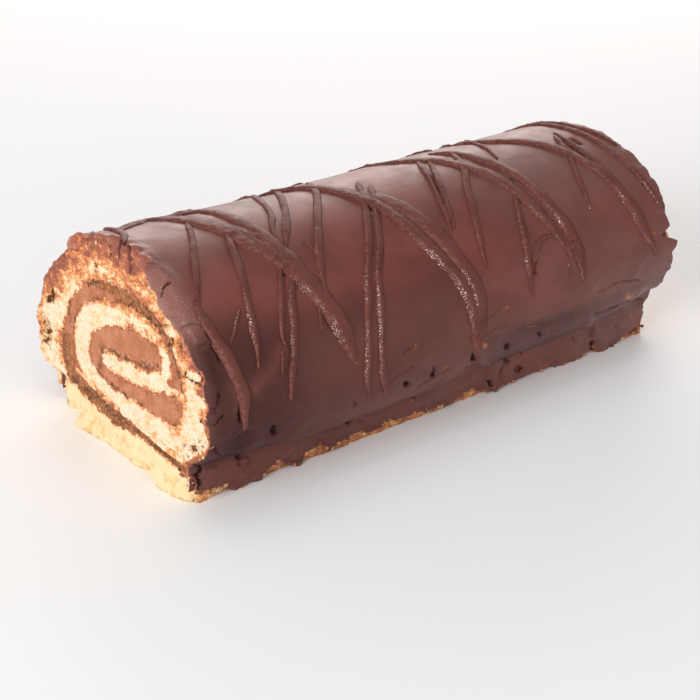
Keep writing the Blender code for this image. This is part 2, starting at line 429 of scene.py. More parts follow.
# Creases and ridges of the lip by the near cut, the creases darkened with painted shade: half
# width, height, then u, depth points.
LIP_LINES = (
    (0.4, -1.1, ((20.8, -0.6), (21.8, 1), (23.2, 3))),
    (0.5, 0.55, ((26.5, 7), (30, 5.4), (33.5, 3))),
    (0.5, -0.6, ((36.6, 3), (37, 0.5), (38.5, -1.5), (40.5, -2.9), (42.5, -3.2), (44, -2),
                 (44.9, 0))),
    (1.2, 0.5, ((13.5, 6.8), (17, 4.4), (21, 3.2))),
    (0.5, -1.3, ((93.6, 0.6), (94.6, -1), (96.5, -1.3), (97.8, -0.2))),
    (0.5, -1.1, ((97.6, 0), (99.5, 0.5), (101.5, -0.4), (104, 0.6))),
    (1.8, 0.8, ((97.6, 2.6), (99, 2.8))),
)
LIP_LINES_END = -90          # x where those lines stop
MARKED_BACK = -58            # below this u the back repeats the front's marks
BELLY_TUCK = 4.0             # how far the belly draws in towards the far cut, in mm
TUCK_START = 78.0            # x where it starts to draw in
FAR_SHRINK = 0.9             # how much smaller the crumb is cut at the far end, in mm
TUCK_DEPTH = 9.0             # how deep below the coat the crumb still draws in

# Zones of u.
TUCKED = (58, 76, 88, 95)
TOP = (-60, -30, 15, 35)
BELLY = (70, 76, 92, 97)
LOW_CHUNK = (95, 98, 103, 108)
LIP_RIDGE = (10, 18, 43.6, 45.4)
BELOW_LIP = (44, 46, 56, 70)
TORN_RIM = (-66, -50, -4, 10)
SMOOTH_RIM = (8, 14, 36, 42)
GROOVE = (92.8, 7.2)         # middle and half width of the front groove
BACK_GROOVE = (-103, 5.0)
# Noise of the coat's surface: height, size, octaves, seed.
TOP_WAVES = ((0.32, 32, 2, 11), (0.10, 9, 2, 12))
FOOT_WAVES = ((0.8, 11, 2, 14), (0.25, 3.5, 2, 16))
BACK_WAVES = ((0.6, 13, 2, 24), (0.3, 6, 2, 25))


def belly_tuck(x, u):
    """How far the belly is drawn in near the far cut, in mm."""
    return BELLY_TUCK * band(u, *TUCKED) * np.clip((x - TUCK_START) / (FAR - TUCK_START), 0, 1)


def tucked(x, y, z, depth, u):
    """Section points drawn in with the belly, less the deeper they lie."""
    ny, nz = outline_at(u)[2:]
    pull = (belly_tuck(x, u) + FAR_SHRINK * (x >= FAR)) * hump(depth, 0, TUCK_DEPTH)
    return y - ny * pull, z - nz * pull


def front_again(x, u):
    """Coat positions with the lower back turned round onto the lower front.

    The back is not in the photo, so it gets the front's kind of marks.
    """
    back = u < MARKED_BACK
    return np.where(back, -x, x), np.where(back, -u, u)


def marks_near(x, u, table):
    """Each line of a table that is near some points: which points, strength, closeness."""
    for half, strength, points in table:
        a, b = np.array(points, float).T
        box = ((x > a.min() - 3 * half) & (x < a.max() + 3 * half)
               & (u > b.min() - 3 * half) & (u < b.max() + 3 * half))
        if box.any():
            yield box, strength, near_line(x[box], u[box], points, half)


def line_marks(x, u, table):
    """Strongest mark at each point from a table of lines on the coat, edges uneven."""
    found = np.zeros(np.shape(x))
    p = flat(x, u)
    x, u = x + 0.8 * fbm(p, 2.4, 2, 18), u + 0.8 * fbm(p, 2.4, 2, 19)
    for box, strength, line in marks_near(x, u, table):
        found[box] = np.maximum(found[box], strength * line)
    return found


def groove_relief(x, u, p):
    """Chocolate in the two grooves between the roll and its base."""
    groove = hump(u, *GROOVE)
    lift = 3.3 * look_up(GROOVE_FILL, x) * groove
    lift = lift + 0.5 * np.interp(x, (40, 80), (0.4, 1)) * groove * fbm(p, 5, 2, 13)
    return lift + hump(u, *BACK_GROOVE) * (0.9 + 0.9 * fbm(p, 14, 2, 15))


def lip_relief(x, u):
    """The swollen lip by the near cut and the hollow below it."""
    bulge = 0.5 + 0.9 * smoothstep(u, 36.5, 38.5)
    lip = bulge * band(u, *LIP_RIDGE) * hump(x, -101.5, 3.0)
    return lip - 0.9 * band(u, *BELOW_LIP) * hump(x, NEAR + 0.5, 4.5)


def coat_relief(x, u):
    """How far the coat stands out from its nominal outline, in mm."""
    p = flat(x, u)
    lift = (1 - 0.6 * band(u, *TOP)) * layers(p, TOP_WAVES)
    lift = lift + groove_relief(x, u, p) + lip_relief(x, u)
    lift = lift + band(u, *BELLY) * smoothstep(x, -70, -40) * (0.45 * fbm(p, 7, 2, 17) - 0.2)
    lift = lift + smoothstep(u, 96, 100) * layers(p, FOOT_WAVES)
    lift = lift + smoothstep(-u, 62, 80) * layers(p, BACK_WAVES)
    lift = lift + 1.2 * hump(x, -98, 5.0) * band(u, *LOW_CHUNK) - belly_tuck(x, u)
    x, u = front_again(x, u)
    for box, height, line in marks_near(x, u, FOLDS):
        lift[box] += height * line
    lift = lift - 1.3 * line_marks(x, u, CREASES)
    for px, pu, radius, depth in PITS:
        lift = lift - depth * hump(np.hypot(x - px, (u - pu) * 0.9), 0, radius, 4)
    return lift


def lip_lines(u, depth):
    """Height and closeness of each line of the lip."""
    for half, height, points in LIP_LINES:
        yield height, near_line(u, depth, points, half)


def rim_roughness(x, u, depth):
    """Lumps of chocolate and crumb near the two cuts; depth is how far down the cut."""
    p = flat(x, u, -1.0 * depth)
    side = 0.5 + band(u, *TORN_RIM) + 0.8 * smoothstep(u, 46, 54) - 0.45 * band(u, *SMOOTH_RIM)
    near = dying(x - NEAR, 3.0)
    rim = near * side + dying(FAR - x, 2.6) * 0.7
    rough = near * look_up(NEAR_SHAPE, u) + rim * (fbm(p, 3.6, 3, 21) + 0.1)
    for height, line in lip_lines(u, depth - (x - NEAR)):
        rough = rough + height * line * (x < LIP_LINES_END)
    return rough


def coat_surface(x, u, lift):
    """A point at a height above the finished coat."""
    return place(x, *inset_at(u, -coat_relief(x, u) - lift))


def face_surface(y, z, lift):
    """A point at a height above the near cut."""
    point = place(np.full(np.shape(y), NEAR), y, z)
    point[..., 0] -= lift
    return point


# ---------------------------------------------------------------- meshes
def new_piece(name, points, faces, material, attributes):
    """Smooth mesh object riding on the root body, from points in mm."""
    mesh = bpy.data.meshes.new(name)
    points = np.asarray(points) + ROW_SHIFT
    points[:, 2] = np.maximum(points[:, 2], 0.0)
    mesh.from_pydata((points * MM).tolist(), [], faces)
    mesh.validate()
    built = bmesh.new()
    built.from_mesh(mesh)
    bmesh.ops.recalc_face_normals(built, faces=built.faces)
    built.to_mesh(mesh)
    built.free()
    mesh.polygons.foreach_set("use_smooth", np.ones(len(mesh.polygons), bool))
    for key, values in attributes.items():
        layer = mesh.attributes.new(key, "FLOAT", "POINT")
        layer.data.foreach_set("value", np.asarray(values, np.float32))
    mesh.materials.append(material)
    piece = bpy.data.objects.new(name, mesh)
    bpy.context.scene.collection.objects.link(piece)
    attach(piece, "root")
    return piece


def grid_faces(rows, columns, start=0, wrap=False):
    """Quads over a grid of points numbered row by row; a wrapped grid is capped too."""
    i, j = np.meshgrid(np.arange(rows - 1), np.arange(columns - (0 if wrap else 1)),
                       indexing="ij")
    k = (j + 1) % columns
    quads = np.stack((i * columns + j, i * columns + k,
                      (i + 1) * columns + k, (i + 1) * columns + j), axis=-1)
    faces = (quads.reshape(-1, 4) + start).tolist()
    if wrap:
        end = start + rows * columns
        faces += [list(range(start, start + columns)), list(range(end - columns, end))]
    return faces


# ---------------------------------------------------------------- the chocolate coat
# Width of the chocolate that is folded over each cut: u, mm.
NEAR_FILM = (
    (-112, 0.7), (-62, 0.8), (-54, 2.5), (-40, 3.5), (-10, 3.5), (0, 3.0), (8, 2.5),
    (13, 4.5), (17, 5.5), (20, 4.5), (22.5, 7.8), (28, 8.2), (31, 7.4), (34, 5.8), (37, 5),
    (42, 5.5), (48, 6.5), (52, 4.5), (54, 3.2), (56, 3), (58, 4), (61, 4), (63, 2.5),
    (65, 2), (66.5, 4.8), (71, 6.2), (72.5, 3.4), (76, 2), (78, 0.9), (84, 0.9), (90, 1.6),
    (95, 2.2), (96.5, 5), (100.5, 5.4), (102, 1.4), (112, 0.9),
)
FAR_FILM = ((-112, 1.6), (-60, 2.4), (-30, 1.8), (0, 3.0), (30, 2.2), (60, 1.6), (112, 2.0))
# Colour inwards from the outline: u, depth where brown ends, depth where clean crumb begins.
NEAR_TONE = (
    (-112, -4, 1), (-100, -4, 0.6), (-96, -1.5, 1), (-93, -3, 0.8), (-89, -1.5, 2),
    (-80, -0.8, 3), (-76, -0.4, 2), (-72, 0.3, 4), (-68, 1.5, 10), (-62, 2.5, 13),
    (-58, 4.5, 14), (-54, 4.5, 13.5), (-48, 5, 13), (-42, 6.5, 13), (-35, 6.5, 13),
    (-28, 7, 13.5), (-20, 7.5, 14.5), (-12, 6.5, 15), (-8, 8, 15), (-3, 9, 15), (3, 7, 15),
    (7, 4.5, 15), (12, 4, 14), (15, 6, 12.5), (19, 4.5, 9.2), (21, 5, 8.8), (22.5, 7.9, 8.8),
    (28, 8.2, 8.9), (31, 7.6, 11), (34, 6, 9.5), (36, 5.5, 9.5), (39, 8, 16),
    (43, 9.5, 17), (48, 9.5, 15.5), (51, 7.5, 12), (53.5, 4, 5.8), (56, 3.6, 5.2),
    (57.5, 6, 10), (60.5, 6, 9.5), (62.5, 3.2, 5), (65, 2.6, 3.2), (66.5, 5.5, 7.8),
    (71, 7.2, 8.6), (72.2, 4, 5), (75, 2.8, 3.6), (77, 0.8, 1.4), (82, 1, 2.2),
    (86, 2.2, 3), (92, 2.2, 2.8), (95, 2.5, 3), (97, 5.5, 6), (100.5, 6.2, 6.8),
    (102, 1, 1.5), (112, 0.3, 1),
)
FAR_TONE = ((-112, 0.5, 2), (-60, 2.5, 7), (-30, 2.5, 9), (0, 3, 10), (30, 2.5, 8),
            (60, 1.5, 5), (80, 1, 3), (112, 0.5, 2))
# Near edge of the coat: u, how far it stays back from the near cut.
NEAR_EDGE = ((-112, 1.5), (-100, 0.5), (-90, 0), (84, 0), (91, 1.2), (98, 2.2), (104, 3.2),
             (112, 4.6))
# Far edge of the coat: u, how far it reaches past the far cut.
FAR_EDGE = ((-112, -1.5), (-90, 1.0), (-70, -0.5), (-50, 1.5), (-25, -1.5), (-12, -0.5),
            (0, 1.8), (19, 2.0), (35, 0), (46, -0.6), (54, -1.2), (55.2, -3.5), (56.2, -6),
            (57.4, -4.6), (58.6, -1.2), (60.5, 2.2), (62, 1.4), (65, 0.8), (68, 1.2),
            (71, 2.0), (73.5, 2.4), (75, 1.6), (78, 0.6), (82, 0.2), (94, -1), (96, -2.5), (99, -3),
            (102, -1.5), (106, -2), (112, -2))
# The rim that turns over each cut: u, its radius, and u, how far it stands proud.
CURL = ((8, 1.5), (18, 3.2), (40, 3.2), (50, 1.8))
PROUD = ((-66, 0.4), (-50, 0.1), (4, 0.2), (16, 1.1), (22, 1.8), (28, 2.2), (38, 2.2), (44, 1.6),
         (50, 0.7), (92, 0.5), (97, 1.3), (101, 1.3), (104, 0.5))
# How the coat turns in under each hem: inset, and how far beyond the hem.
HEM_TURN = np.array(((0.25, 0.45), (0.8, 0.75), (1.4, 0.5), (1.7, -0.3)))
SHELL = 1.9                  # depth of the coat's inside below its outline
RINGS = 14                   # grid rows that fold over each cut
CORNER = 4                   # how many of them turn the corner
LAST = RINGS - 1             # the last two go down into the cut
SINK = 0.7                   # how far down they go, in mm
BODY_ROWS = 270              # grid rows between the two rims
EDGE_LIMIT = 9               # how far the coat may reach past either cut, in mm


def film_width(u, table, seed):
    """Ragged width of the chocolate on a cut."""
    return np.clip(look_up(table, u) * (1 + 0.22 * fbm(flat(u), 2.5, 3, seed)), 0.6, None)


def rim_tone(u, depth, table):
    """0 at the outline, 0.25 where the brown ends and 1 in clean crumb."""
    at, brown, clean = zip(*table)
    brown, clean = np.interp(u, at, brown), np.interp(u, at, clean)
    inner = np.clip((depth - brown) / (clean - brown), 0, 1)
    return 0.25 * np.clip(depth / np.maximum(brown, 0.01), 0, 1) + 0.75 * inner


def coat_columns():
    """u of the grid's columns, finest over the front groove and foot, and their hem turn."""
    main = np.concatenate((
        np.arange(U_BACK, -70, 1.6),
        np.arange(-70, -8, 1.0),
        np.arange(-8, 10, 0.8),
        np.arange(10, 60, 0.55),
        np.linspace(60, U_FRONT, 94),
    ))
    turns = len(HEM_TURN)
    columns = np.concatenate((np.full(turns, U_BACK), main, np.full(turns, U_FRONT)))
    turn = np.vstack((HEM_TURN[::-1] * (1, -1), np.zeros((len(main), 2)), HEM_TURN))
    return columns, *turn.T


def hem_shift(x, u):
    """u moved so that the outermost columns follow the ragged hems."""
    wobble = 0.5 * fbm(flat(x), 5, 3, 31)
    for sign, start, limit, hem in ((1, 96, U_FRONT, FRONT_HEM), (-1, 98, -U_BACK, BACK_HEM)):
        share = np.clip((sign * u - start) / (limit - start), 0, 1)
        u = u + sign * share * (look_up(hem, x) + wobble - limit)
    return u


def grid_rows():
    """x, side (-1 on the near cut, 1 on the far) and ring number of the grid's rows."""
    rings, body = np.arange(RINGS), np.zeros(BODY_ROWS)
    between = np.linspace(NEAR, FAR, BODY_ROWS + 2)[1:-1]
    x = np.concatenate((np.full(RINGS, NEAR), between, np.full(RINGS, FAR)))
    side = np.concatenate((np.full(RINGS, -1), body, np.full(RINGS, 1)))
    order = np.concatenate((rings[::-1], body, rings))
    return x[:, None], side[:, None], order[:, None]


def rim_profile(columns, side, order):
    """Turn, depth down the cut and reach past it of every rim point, and the rim's radius."""
    film = np.where(side < 0, film_width(columns, NEAR_FILM, 41),
                    film_width(columns, FAR_FILM, 42))
    curl = np.minimum(look_up(CURL, columns), 0.7 * film)
    angle = np.clip(order / CORNER, 0, 1) * math.pi / 2
    run_in = np.clip((order - CORNER) / (LAST - 2 - CORNER), 0, 1)
    depth = curl * (1 - np.cos(angle)) + (film - curl) * run_in
    depth = depth + 0.25 * (order == LAST - 1)
    depth = np.where(order == LAST, np.minimum(film, SHELL), depth)
    outward = curl * (np.sin(angle) - 1)
    outward = outward + look_up(PROUD, columns) * np.sqrt(1 - 0.85 * run_in ** 3)
    outward = np.where(order == LAST - 1, -SINK / 2, outward)
    outward = np.where(order == LAST, -SINK, outward)
    return angle, depth, outward, curl


def edge_shift(columns, x):
    """How far the ragged ends of the coat move the points near them along x."""
    at = flat(columns)
    far_shift = look_up(FAR_EDGE, columns) + 0.6 * fbm(at, 3.0, 3, 43)
    near_shift = look_up(NEAR_EDGE, columns) * (1 + 0.5 * fbm(at, 3.0, 3, 44))
    return far_shift * smoothstep(x, 86, FAR) + near_shift * (1 - smoothstep(x, NEAR, -88))


def coat_grid():
    """Outer side of the coat with its rims and hems folded over, as a grid."""
    columns, inset, drop = coat_columns()
    x, side, order = grid_rows()
    is_rim = side != 0
    u = hem_shift(x, columns) + drop
    angle, depth, outward, curl = rim_profile(columns, side, order)
    squeeze = np.interp(x, (NEAR, NEAR + 14, FAR - 14, FAR), (1.0, 0, 0, -1.0))
    moved = x + edge_shift(columns, x) + np.where(is_rim, side * outward, curl * squeeze)
    x = x + 0 * u

    depth = np.where(is_rim, depth, 0.0)
    rough = rim_roughness(x, u, depth) * (order < LAST - 1)
    fade = np.where(is_rim, np.cos(angle), 1.0)
    lift = (coat_relief(x, u) + rough) * fade
    total = np.maximum(depth, inset) - lift + (1 - fade) * belly_tuck(x, u)
    points = place(np.clip(moved, NEAR - EDGE_LIMIT, FAR + EDGE_LIMIT), *inset_at(u, total))
    points[..., 0] += 0.8 * side * np.sin(angle) * rough
    points[..., 2] = np.maximum(points[..., 2], 0.05)
    return points, x, u, depth


def coat_lining(x_rows, base):
    """Inside of the coat at a few stations, and the faces that join it to the grid."""
    columns = np.clip(coat_columns()[0], U_BACK + 3, U_FRONT - 3)
    count, rows = len(columns), len(x_rows)
    stations = np.array([*[s[0] for s in STATIONS[:-1]], TUCK_START, FAR])
    inner_x = stations + np.array((1.5, 0, 0, 0, 0, -1.5))
    lining = [place(np.full(count, at), *inset_at(columns, SHELL + belly_tuck(at, columns)))
              for at in inner_x]
    faces = grid_faces(len(stations), count, base)
    for grid_row, inner_row in ((0, 0), (rows - 1, len(stations) - 1)):
        out, within = grid_row * count, base + inner_row * count
        faces += [(out + j, out + j + 1, within + j + 1, within + j) for j in range(count - 1)]
    cuts = [0, *(int(np.argmin(abs(x_rows - s))) for s in stations[1:-1]), rows - 1]
    for k, (start, end) in enumerate(zip(cuts, cuts[1:])):
        for j in (0, count - 1):
            edge = [i * count + j for i in range(start, end + 1)]
            faces.append(edge + [base + (k + 1) * count + j, base + k * count + j])
    return np.vstack(lining), faces


# How strong the painted shade on the coat is along x, on the sides and under the belly.
SHADE_ALONG = ((-104, 1.0), (-90, 0.95), (-60, 0.65), (0, 0.5), (20, 0.25), (105, 0.2))
UNDER_SHADE_ALONG = ((-104, 0.9), (-85, 0.9), (-60, 0.5), (0, 0.45), (25, 0.95), (70, 0.95), (100, 0.7))
UNDER_SHADE = (70, 74.5, 95, 97.5)
DULL_SHADE_GROOVE = (73.5, 78, 92, 96.5)
DULL_SHADE_SIDE = (40, 55, 92, 97)
LIP = (10, 15, 35, 45)
LIP_SHADE = (43.5, 47, 52, 78)


def stain_marks(x, u, depth, tone):
    """Where browned crumb shows through the film on a cut, and past its edge."""
    to_cut = np.where(x > 0, FAR - x, x - NEAR)
    torn = 1 - smoothstep(u, 8, 13)
    over = torn * (x < 0) * hump(to_cut, 0, 3.0) * smoothstep(depth - to_cut, -3.5, 0.5)
    clear = np.where(torn > 0.5, 0.05, np.where(u < 37, 0.235, 0.10))
    clear = np.where(x > 0, 0.2, clear)
    on_cut = 1 - smoothstep(to_cut, 0.8, 3.0)
    return np.maximum(over, on_cut * smoothstep(tone, clear - 0.04, clear + 0.04))


def painted_shade_marks(x, u):
    """Where shade is painted on the coat: low on the sides, and under the belly."""
    side = np.where(u < 0, 0.8 * smoothstep(-u, 45, 95), smoothstep(u, 30, 50))
    under = band(u, *UNDER_SHADE) * look_up(UNDER_SHADE_ALONG, x)
    near_foot = smoothstep(u, 95, 98) * smoothstep(-x, 55, 90)
    painted_shade = np.maximum(look_up(SHADE_ALONG, x) * side, under) * (1 - 0.45 * near_foot)
    return painted_shade * (1 - line_marks(x, u, WARM))


def dull_shade_marks(x, u):
    """Where the coat is rougher and painted nearly black with shade: the near end of the front
    groove, and half as much on the lower side towards the near end.
    """
    groove = hump(x, -92.5, 8.5, 4) * band(u, *DULL_SHADE_GROOVE)
    return np.maximum(groove, 0.5 * band(u, *DULL_SHADE_SIDE) * smoothstep(-x, 50, 80))


def grey_sheen_marks(x, u):
    """Where a grey sheen is painted on the coat, towards the far end."""
    upper = smoothstep(x, 10, 60) * smoothstep(u, 2, 14) * (1 - 0.6 * smoothstep(u, 25, 40))
    lower = smoothstep(x, 40, 75) * smoothstep(u, 55, 66)
    middle = 0.35 * smoothstep(x, -40, 0) * smoothstep(u, 58, 68)
    return np.maximum(np.maximum(upper, lower), middle)


def crack_shade_marks(x, u, depth, creases):
    """Painted shade in the lip's creases, below the lip and in the coat's creases."""
    crack_shade = np.zeros(u.shape)
    for height, line in lip_lines(u, depth - np.clip(x - NEAR, 0, None)):
        crack_shade = np.maximum(crack_shade, -height * line)
    shade = hump(x, NEAR + 2.5, 4.5) * band(u, *LIP_SHADE)
    crack_shade = np.maximum(crack_shade * (x < LIP_LINES_END), 0.5 * shade)
    return np.maximum(crack_shade, creases * (depth <= 0))


def make_coat(material):
    points, x, u, depth = coat_grid()
    lining, lining_faces = coat_lining(x[:, 0], u.size)
    faces = grid_faces(*u.shape) + lining_faces
    turned = front_again(x, u)
    tone = np.where(x > 0, rim_tone(u, depth, FAR_TONE), rim_tone(u, depth, NEAR_TONE))
    marks = {
        "bloom": dying(x - NEAR, 4.0) * (0.15 + 0.85 * band(u, *LIP)),
        "stain": stain_marks(x, u, depth, tone),
        "tone": tone,
        "painted_shade": painted_shade_marks(x, u),
        "crack_shade": crack_shade_marks(x, u, depth, line_marks(*turned, CREASES)),
        "low": smoothstep(turned[1], 98, 108),
        "flecks": line_marks(*turned, FLECKS),
        "dull_shade": dull_shade_marks(x, u),
        "grey_sheen": grey_sheen_marks(x, u),
    }
    spare = np.zeros(len(lining))
    marks = {key: np.concatenate((values.ravel(), spare)) for key, values in marks.items()}
    every = np.vstack((points.reshape(-1, 3), lining))
    piece = new_piece("chocolate_coat", every, faces, material, marks)
    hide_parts("coating")


# ---------------------------------------------------------------- sponge and filling
GRAIN = 0.5                  # point spacing on the cuts
GROOVE_U = 92.0              # where the sponge's outside starts, in the front groove
FOOT_U = 99.8                # where it ends, above the foot
BASE_INSET = 1.6             # sponge behind the coat at the foot, on a cut
DEEPER = 0.6                 # how much further in it lies between the cuts
LINE_ENDS = ((-39.8, 12.1), (-39.8, 15.7))   # y, z of both ends of the line of cream
WALL_X = (NEAR + 8.0, *[s[0] for s in STATIONS[1:-1]], TUCK_START, FAR - 2.0)
WALL_MARKS = {"seam": 20.0, "high": 20.0, "tone": 0.9, "dark": 0.35}
# How far the foot of the base stands out of the near cut: y, mm.
BASE_FOOT = ((-42, -0.5), (-36, -0.5), (-30, 0.0), (-25, 1.4), (-17, -2.0), (-10, 0.5), (0, -0.4),
             (6, -0.4), (15, 2.4), (22, 2.2), (27, -2.0), (30, -2.2), (33, -1.0), (38, -0.5))
# Patches of open, pitted crumb along both cuts, darkened with painted shade: u, reach, strength.
PITTED = ((-84.5, 6.5, 0.5), (86, 10, 0.3))
# Pits and cracks of the near cut, darkened with painted shade: half width, strength, then u, depth
# points.
DARK_MARKS = (
    (1.1, 1.0, ((-71, 4), (-68, 6.3), (-64.5, 5.6))),
    (0.9, 0.9, ((-89, 2.2), (-88, 4.2))),
    (0.7, 0.7, ((-88, 6), (-87.5, 7))),
    (0.8, 1.0, ((-84.7, 4.8), (-83, 7.4))),
    (0.5, 0.7, ((-81.5, 2), (-80, 5.5))),
    (0.5, 0.4, ((-96.5, 5.3), (-92.5, 5))),
    (0.7, 0.8, ((-24.5, 10), (-23, 11))),
    (0.8, 0.55, ((-26, 12.6), (-24.6, 13.2))),
    (0.8, 0.4, ((-33.5, 11.8), (-32, 12.2))),
    (0.7, 0.4, ((-19.5, 15.2), (-18, 15.4))),
    (0.6, 0.7, ((-11.3, 6), (-10.2, 5.2))),
    (0.9, 0.9, ((40, 10), (41, 10.3))),
    (1.0, 1.0, ((35.4, 13.8), (35, 16.2))),
    (0.6, 0.55, ((29.5, 12), (28, 14))),
    (0.8, 0.9, ((57.8, 5.4), (57.2, 6.4))),
    (0.55, 0.8, ((57.2, 7), (56, 9.5), (54.9, 13), (53.5, 15.4))),
    (0.7, 0.8, ((51.3, 12.8), (53, 14))),
    (0.7, 0.55, ((43.6, 16.2), (44.4, 17))),
    (0.7, 0.7, ((76.8, 0.8), (78, 0.9))),
    (0.5, 0.5, ((78.4, 3.3), (79.6, 3.8))),
    (0.5, 0.5, ((81, 6.2), (83.6, 6.8))),
    (0.6, 0.7, ((84, 1.7), (85.6, 2))),
    (0.8, 1.0, ((87.8, 4.6), (90.2, 5.5))),
    (0.5, 0.4, ((90.6, 3.3), (92, 3.2))),
    (0.6, 0.5, ((92.6, 7.2), (93.8, 8))),
)
# Where torn crumb bridges the filling: half width, strength, then y, z points.
BRIDGES = (
    (2.0, 1, ((-27, 35.4), (-30, 36.2), (-33.5, 37))),
    (1.0, 1, ((-28.5, 51), (-30.5, 48.5))),
    (1.6, 1, ((-2, 16.4), (-10, 15.8), (-20, 15.6), (-30, 15.9), (-39, 16.2))),
    (0.9, 1, ((-20, 14.6), (-30, 14.6), (-38, 14.8))),
    (1.0, 1, ((28, 17.5), (22, 16.6), (16, 16.2))),
)
# Where the cream is rubbed dark into the crumb: half width, strength, then y, z points.
RUBBED = (
    (2.2, 0.9, ((13.5, 25), (13, 29), (12.5, 32.5))),
    (1.3, 0.8, ((11, 34), (2, 35), (-7, 36.6), (-15, 39), (-21, 42))),
    (1.0, 0.7, ((17, 24), (8, 22.8), (-4, 22.8), (-14, 24.2))),
    (2.0, 0.6, ((-29, 35.5), (-32.5, 36.5), (-33.5, 32))),
    (2.4, 0.7, ((24, 52), (16, 55), (8, 56.5), (-2, 57), (-12, 57), (-21, 55.5))),
    (2.2, 0.8, ((36, 27), (35.5, 20), (33, 15.5))),
    (2.6, 1.0, ((29, 13.5), (20, 13.5), (10, 13), (3, 12), (-4, 12.6))),
    (1.0, 1.0, ((-4, 12.8), (-14, 13), (-26, 13), (-38, 13.2))),
    (1.6, 0.6, ((31, 44), (33, 38), (32.5, 30))),
    (1.5, 0.6, ((-26, 52), (-30, 46), (-32.5, 41))),
)
# Noise of the cuts: height, size, octaves, seed.
RAGGED_Y = ((1.0, 4.5, 3, 71), (0.35, 1.8, 2, 72))
RAGGED_Z = ((1.0, 4.5, 3, 73), (0.35, 1.8, 2, 74))
CRUMB_WAVES = ((0.45, 9, 2, 61), (0.25, 2.6, 3, 62))
SKIRT_WAVES = ((1.2, 3.2, 3, 81), (0.5, 12, 1, 82))
# The crumbly side of the base: heights of its rows, and x, how far its near end stands out.
SKIRT_Z = np.array((0.1, 0.9, 1.8, 2.7, 3.6, 4.5, 5.4, 6.3, 7.2, 7.6, 0.1))
SKIRT_NEAR = ((-101.4, -3.0), (-100.6, -0.8), (-98.6, 1.6), (-94.6, 1.4), (-90, 0.3), (-86, 0))


def spiral_edge():
    """The line between sponge and filling, round from the base to under the turn."""
    curve = smooth_curve(SHEET_PATH, STEPS)
    ends = np.vstack((curve[0], curve, curve[-1]))
    along = unit((ends[2:] - ends[:-2])[:, :2])
    across = np.stack((-along[:, 1], along[:, 0]), axis=1) * curve[:, 2:] / 2
    inner, outer = curve[:, :2] + across, curve[:, :2] - across
    inner[:, 1] = np.maximum(inner[:, 1], 0)
    turned_in = outer[:INNER_TURN * STEPS - 1:-1]
    return resample(np.vstack((LINE_ENDS[0], inner[1:], turned_in, LINE_ENDS[1])), GRAIN)


def sponge_outside(on_cut):
    """The sponge's outside: from the front groove round the top, underneath and up the foot."""
    top = np.arange(GROOVE_U, U_BACK + 1.5, -GRAIN)
    inset = SHELL + 0.4
    if on_cut:
        inset = np.clip(film_width(top, NEAR_FILM, 41) - 0.7, 0.5, SHELL)
    upper = np.stack(inset_at(top, inset), axis=1)
    under = np.linspace((37.2, 0.0), (-38.6, 0.0), int(76 / GRAIN))
    y, z, ny = outline_at(np.arange(U_FRONT - 0.5, FOOT_U, -GRAIN))[:3]
    foot = np.stack((y - ny * (BASE_INSET + (0 if on_cut else DEEPER)), z), axis=1)
    return np.vstack((upper, under, foot))


def grid_inside(rim, *loops):
    """A slightly uneven triangular grid inside some loops, clear of their rim."""
    z, y = np.meshgrid(np.arange(0.2, 75, GRAIN * 0.866), np.arange(-53, 53.5, GRAIN),
                       indexing="ij")
    y = y + (np.arange(len(y)) % 2)[:, None] * GRAIN / 2
    y = y + 0.12 * value_noise(flat(y * 3.1, z * 3.1), 51)
    y, z = y.ravel(), z.ravel()
    inside = np.any([in_polygon(y, z, loop) for loop in loops], axis=0)
    grid = np.stack((y, z), axis=1)[inside]
    return grid[nearest(grid, rim)[0] > GRAIN * 0.55]


def outline_depth(points):
    """Depth below the coat's outline, and u there, for section points."""
    u = np.arange(U_BACK, U_FRONT, 0.5)
    depth, index = nearest(points, np.stack(outline_at(u)[:2], axis=1))
    return depth, u[index]


def section_layout():
    """Points shared by both cuts, with the triangles and the loop of either layer."""
    edge, outside = spiral_edge(), sponge_outside(True)
    closing = resample(np.vstack((edge[-1], edge[0])), GRAIN)[1:-1]
    rim = np.vstack((edge, outside, closing))
    line_end, rim_end = len(edge), len(edge) + len(outside)
    outlines = rim[:rim_end], np.vstack((edge, closing))
    points = np.vstack((rim, grid_inside(rim, *outlines)))

    sponge_loop = list(range(rim_end))
    filling_loop = list(range(line_end)) + list(range(rim_end, len(rim)))
    chain = [line_end - 1, *range(rim_end, len(rim)), 0]
    edges = list(zip(sponge_loop, sponge_loop[1:] + [0])) + list(zip(chain, chain[1:]))
    found = delaunay_2d_cdt([Vector(p) for p in points], edges, [], 0, 1e-5, True)
    made, triangles, source = found[0], found[2], found[3]
    lookup = np.array([s[0] if s else -1 for s in source])
    if (lookup < 0).any() or len(made) != len(points):
        raise RuntimeError("the section outlines touch each other")
    triangles = lookup[np.array(triangles)]
    centre = points[triangles].mean(axis=1)
    sponge, filling = (triangles[in_polygon(*centre.T, outline)] for outline in outlines)
    depth, u = outline_depth(points)
    return {
        "points": points,
        "sponge": (sponge, sponge_loop),
        "filling": (filling, filling_loop),
        "edge": edge,
        "depth": depth,
        "u": u,
        "to_outside": nearest(points, outside)[0],
        "to_edge": nearest(points, edge)[0],
    }


def strongest(a, b, table, power=2, widen=1.0):
    """Strongest mark at each point from a table of lines: half width, strength, points."""
    return np.max([strength * near_line(a, b, run, widen * half, power)
                   for half, strength, run in table], axis=0)


def dents(y, z, size, seed, share, reach):
    """Scattered round dents, at the spots whose value passes a share."""
    dist, pick = spots(y, z, size, seed)
    return smoothstep(pick, *share) * (1 - smoothstep(dist, *reach))


def lumps(y, z, size, seed, swing):
    """Scattered round lumps of uneven height."""
    dist, pick = spots(y, z, size, seed)
    return np.sqrt(np.clip(1 - (dist / 0.8) ** 2, 0, 1)) * (0.7 + swing * pick)


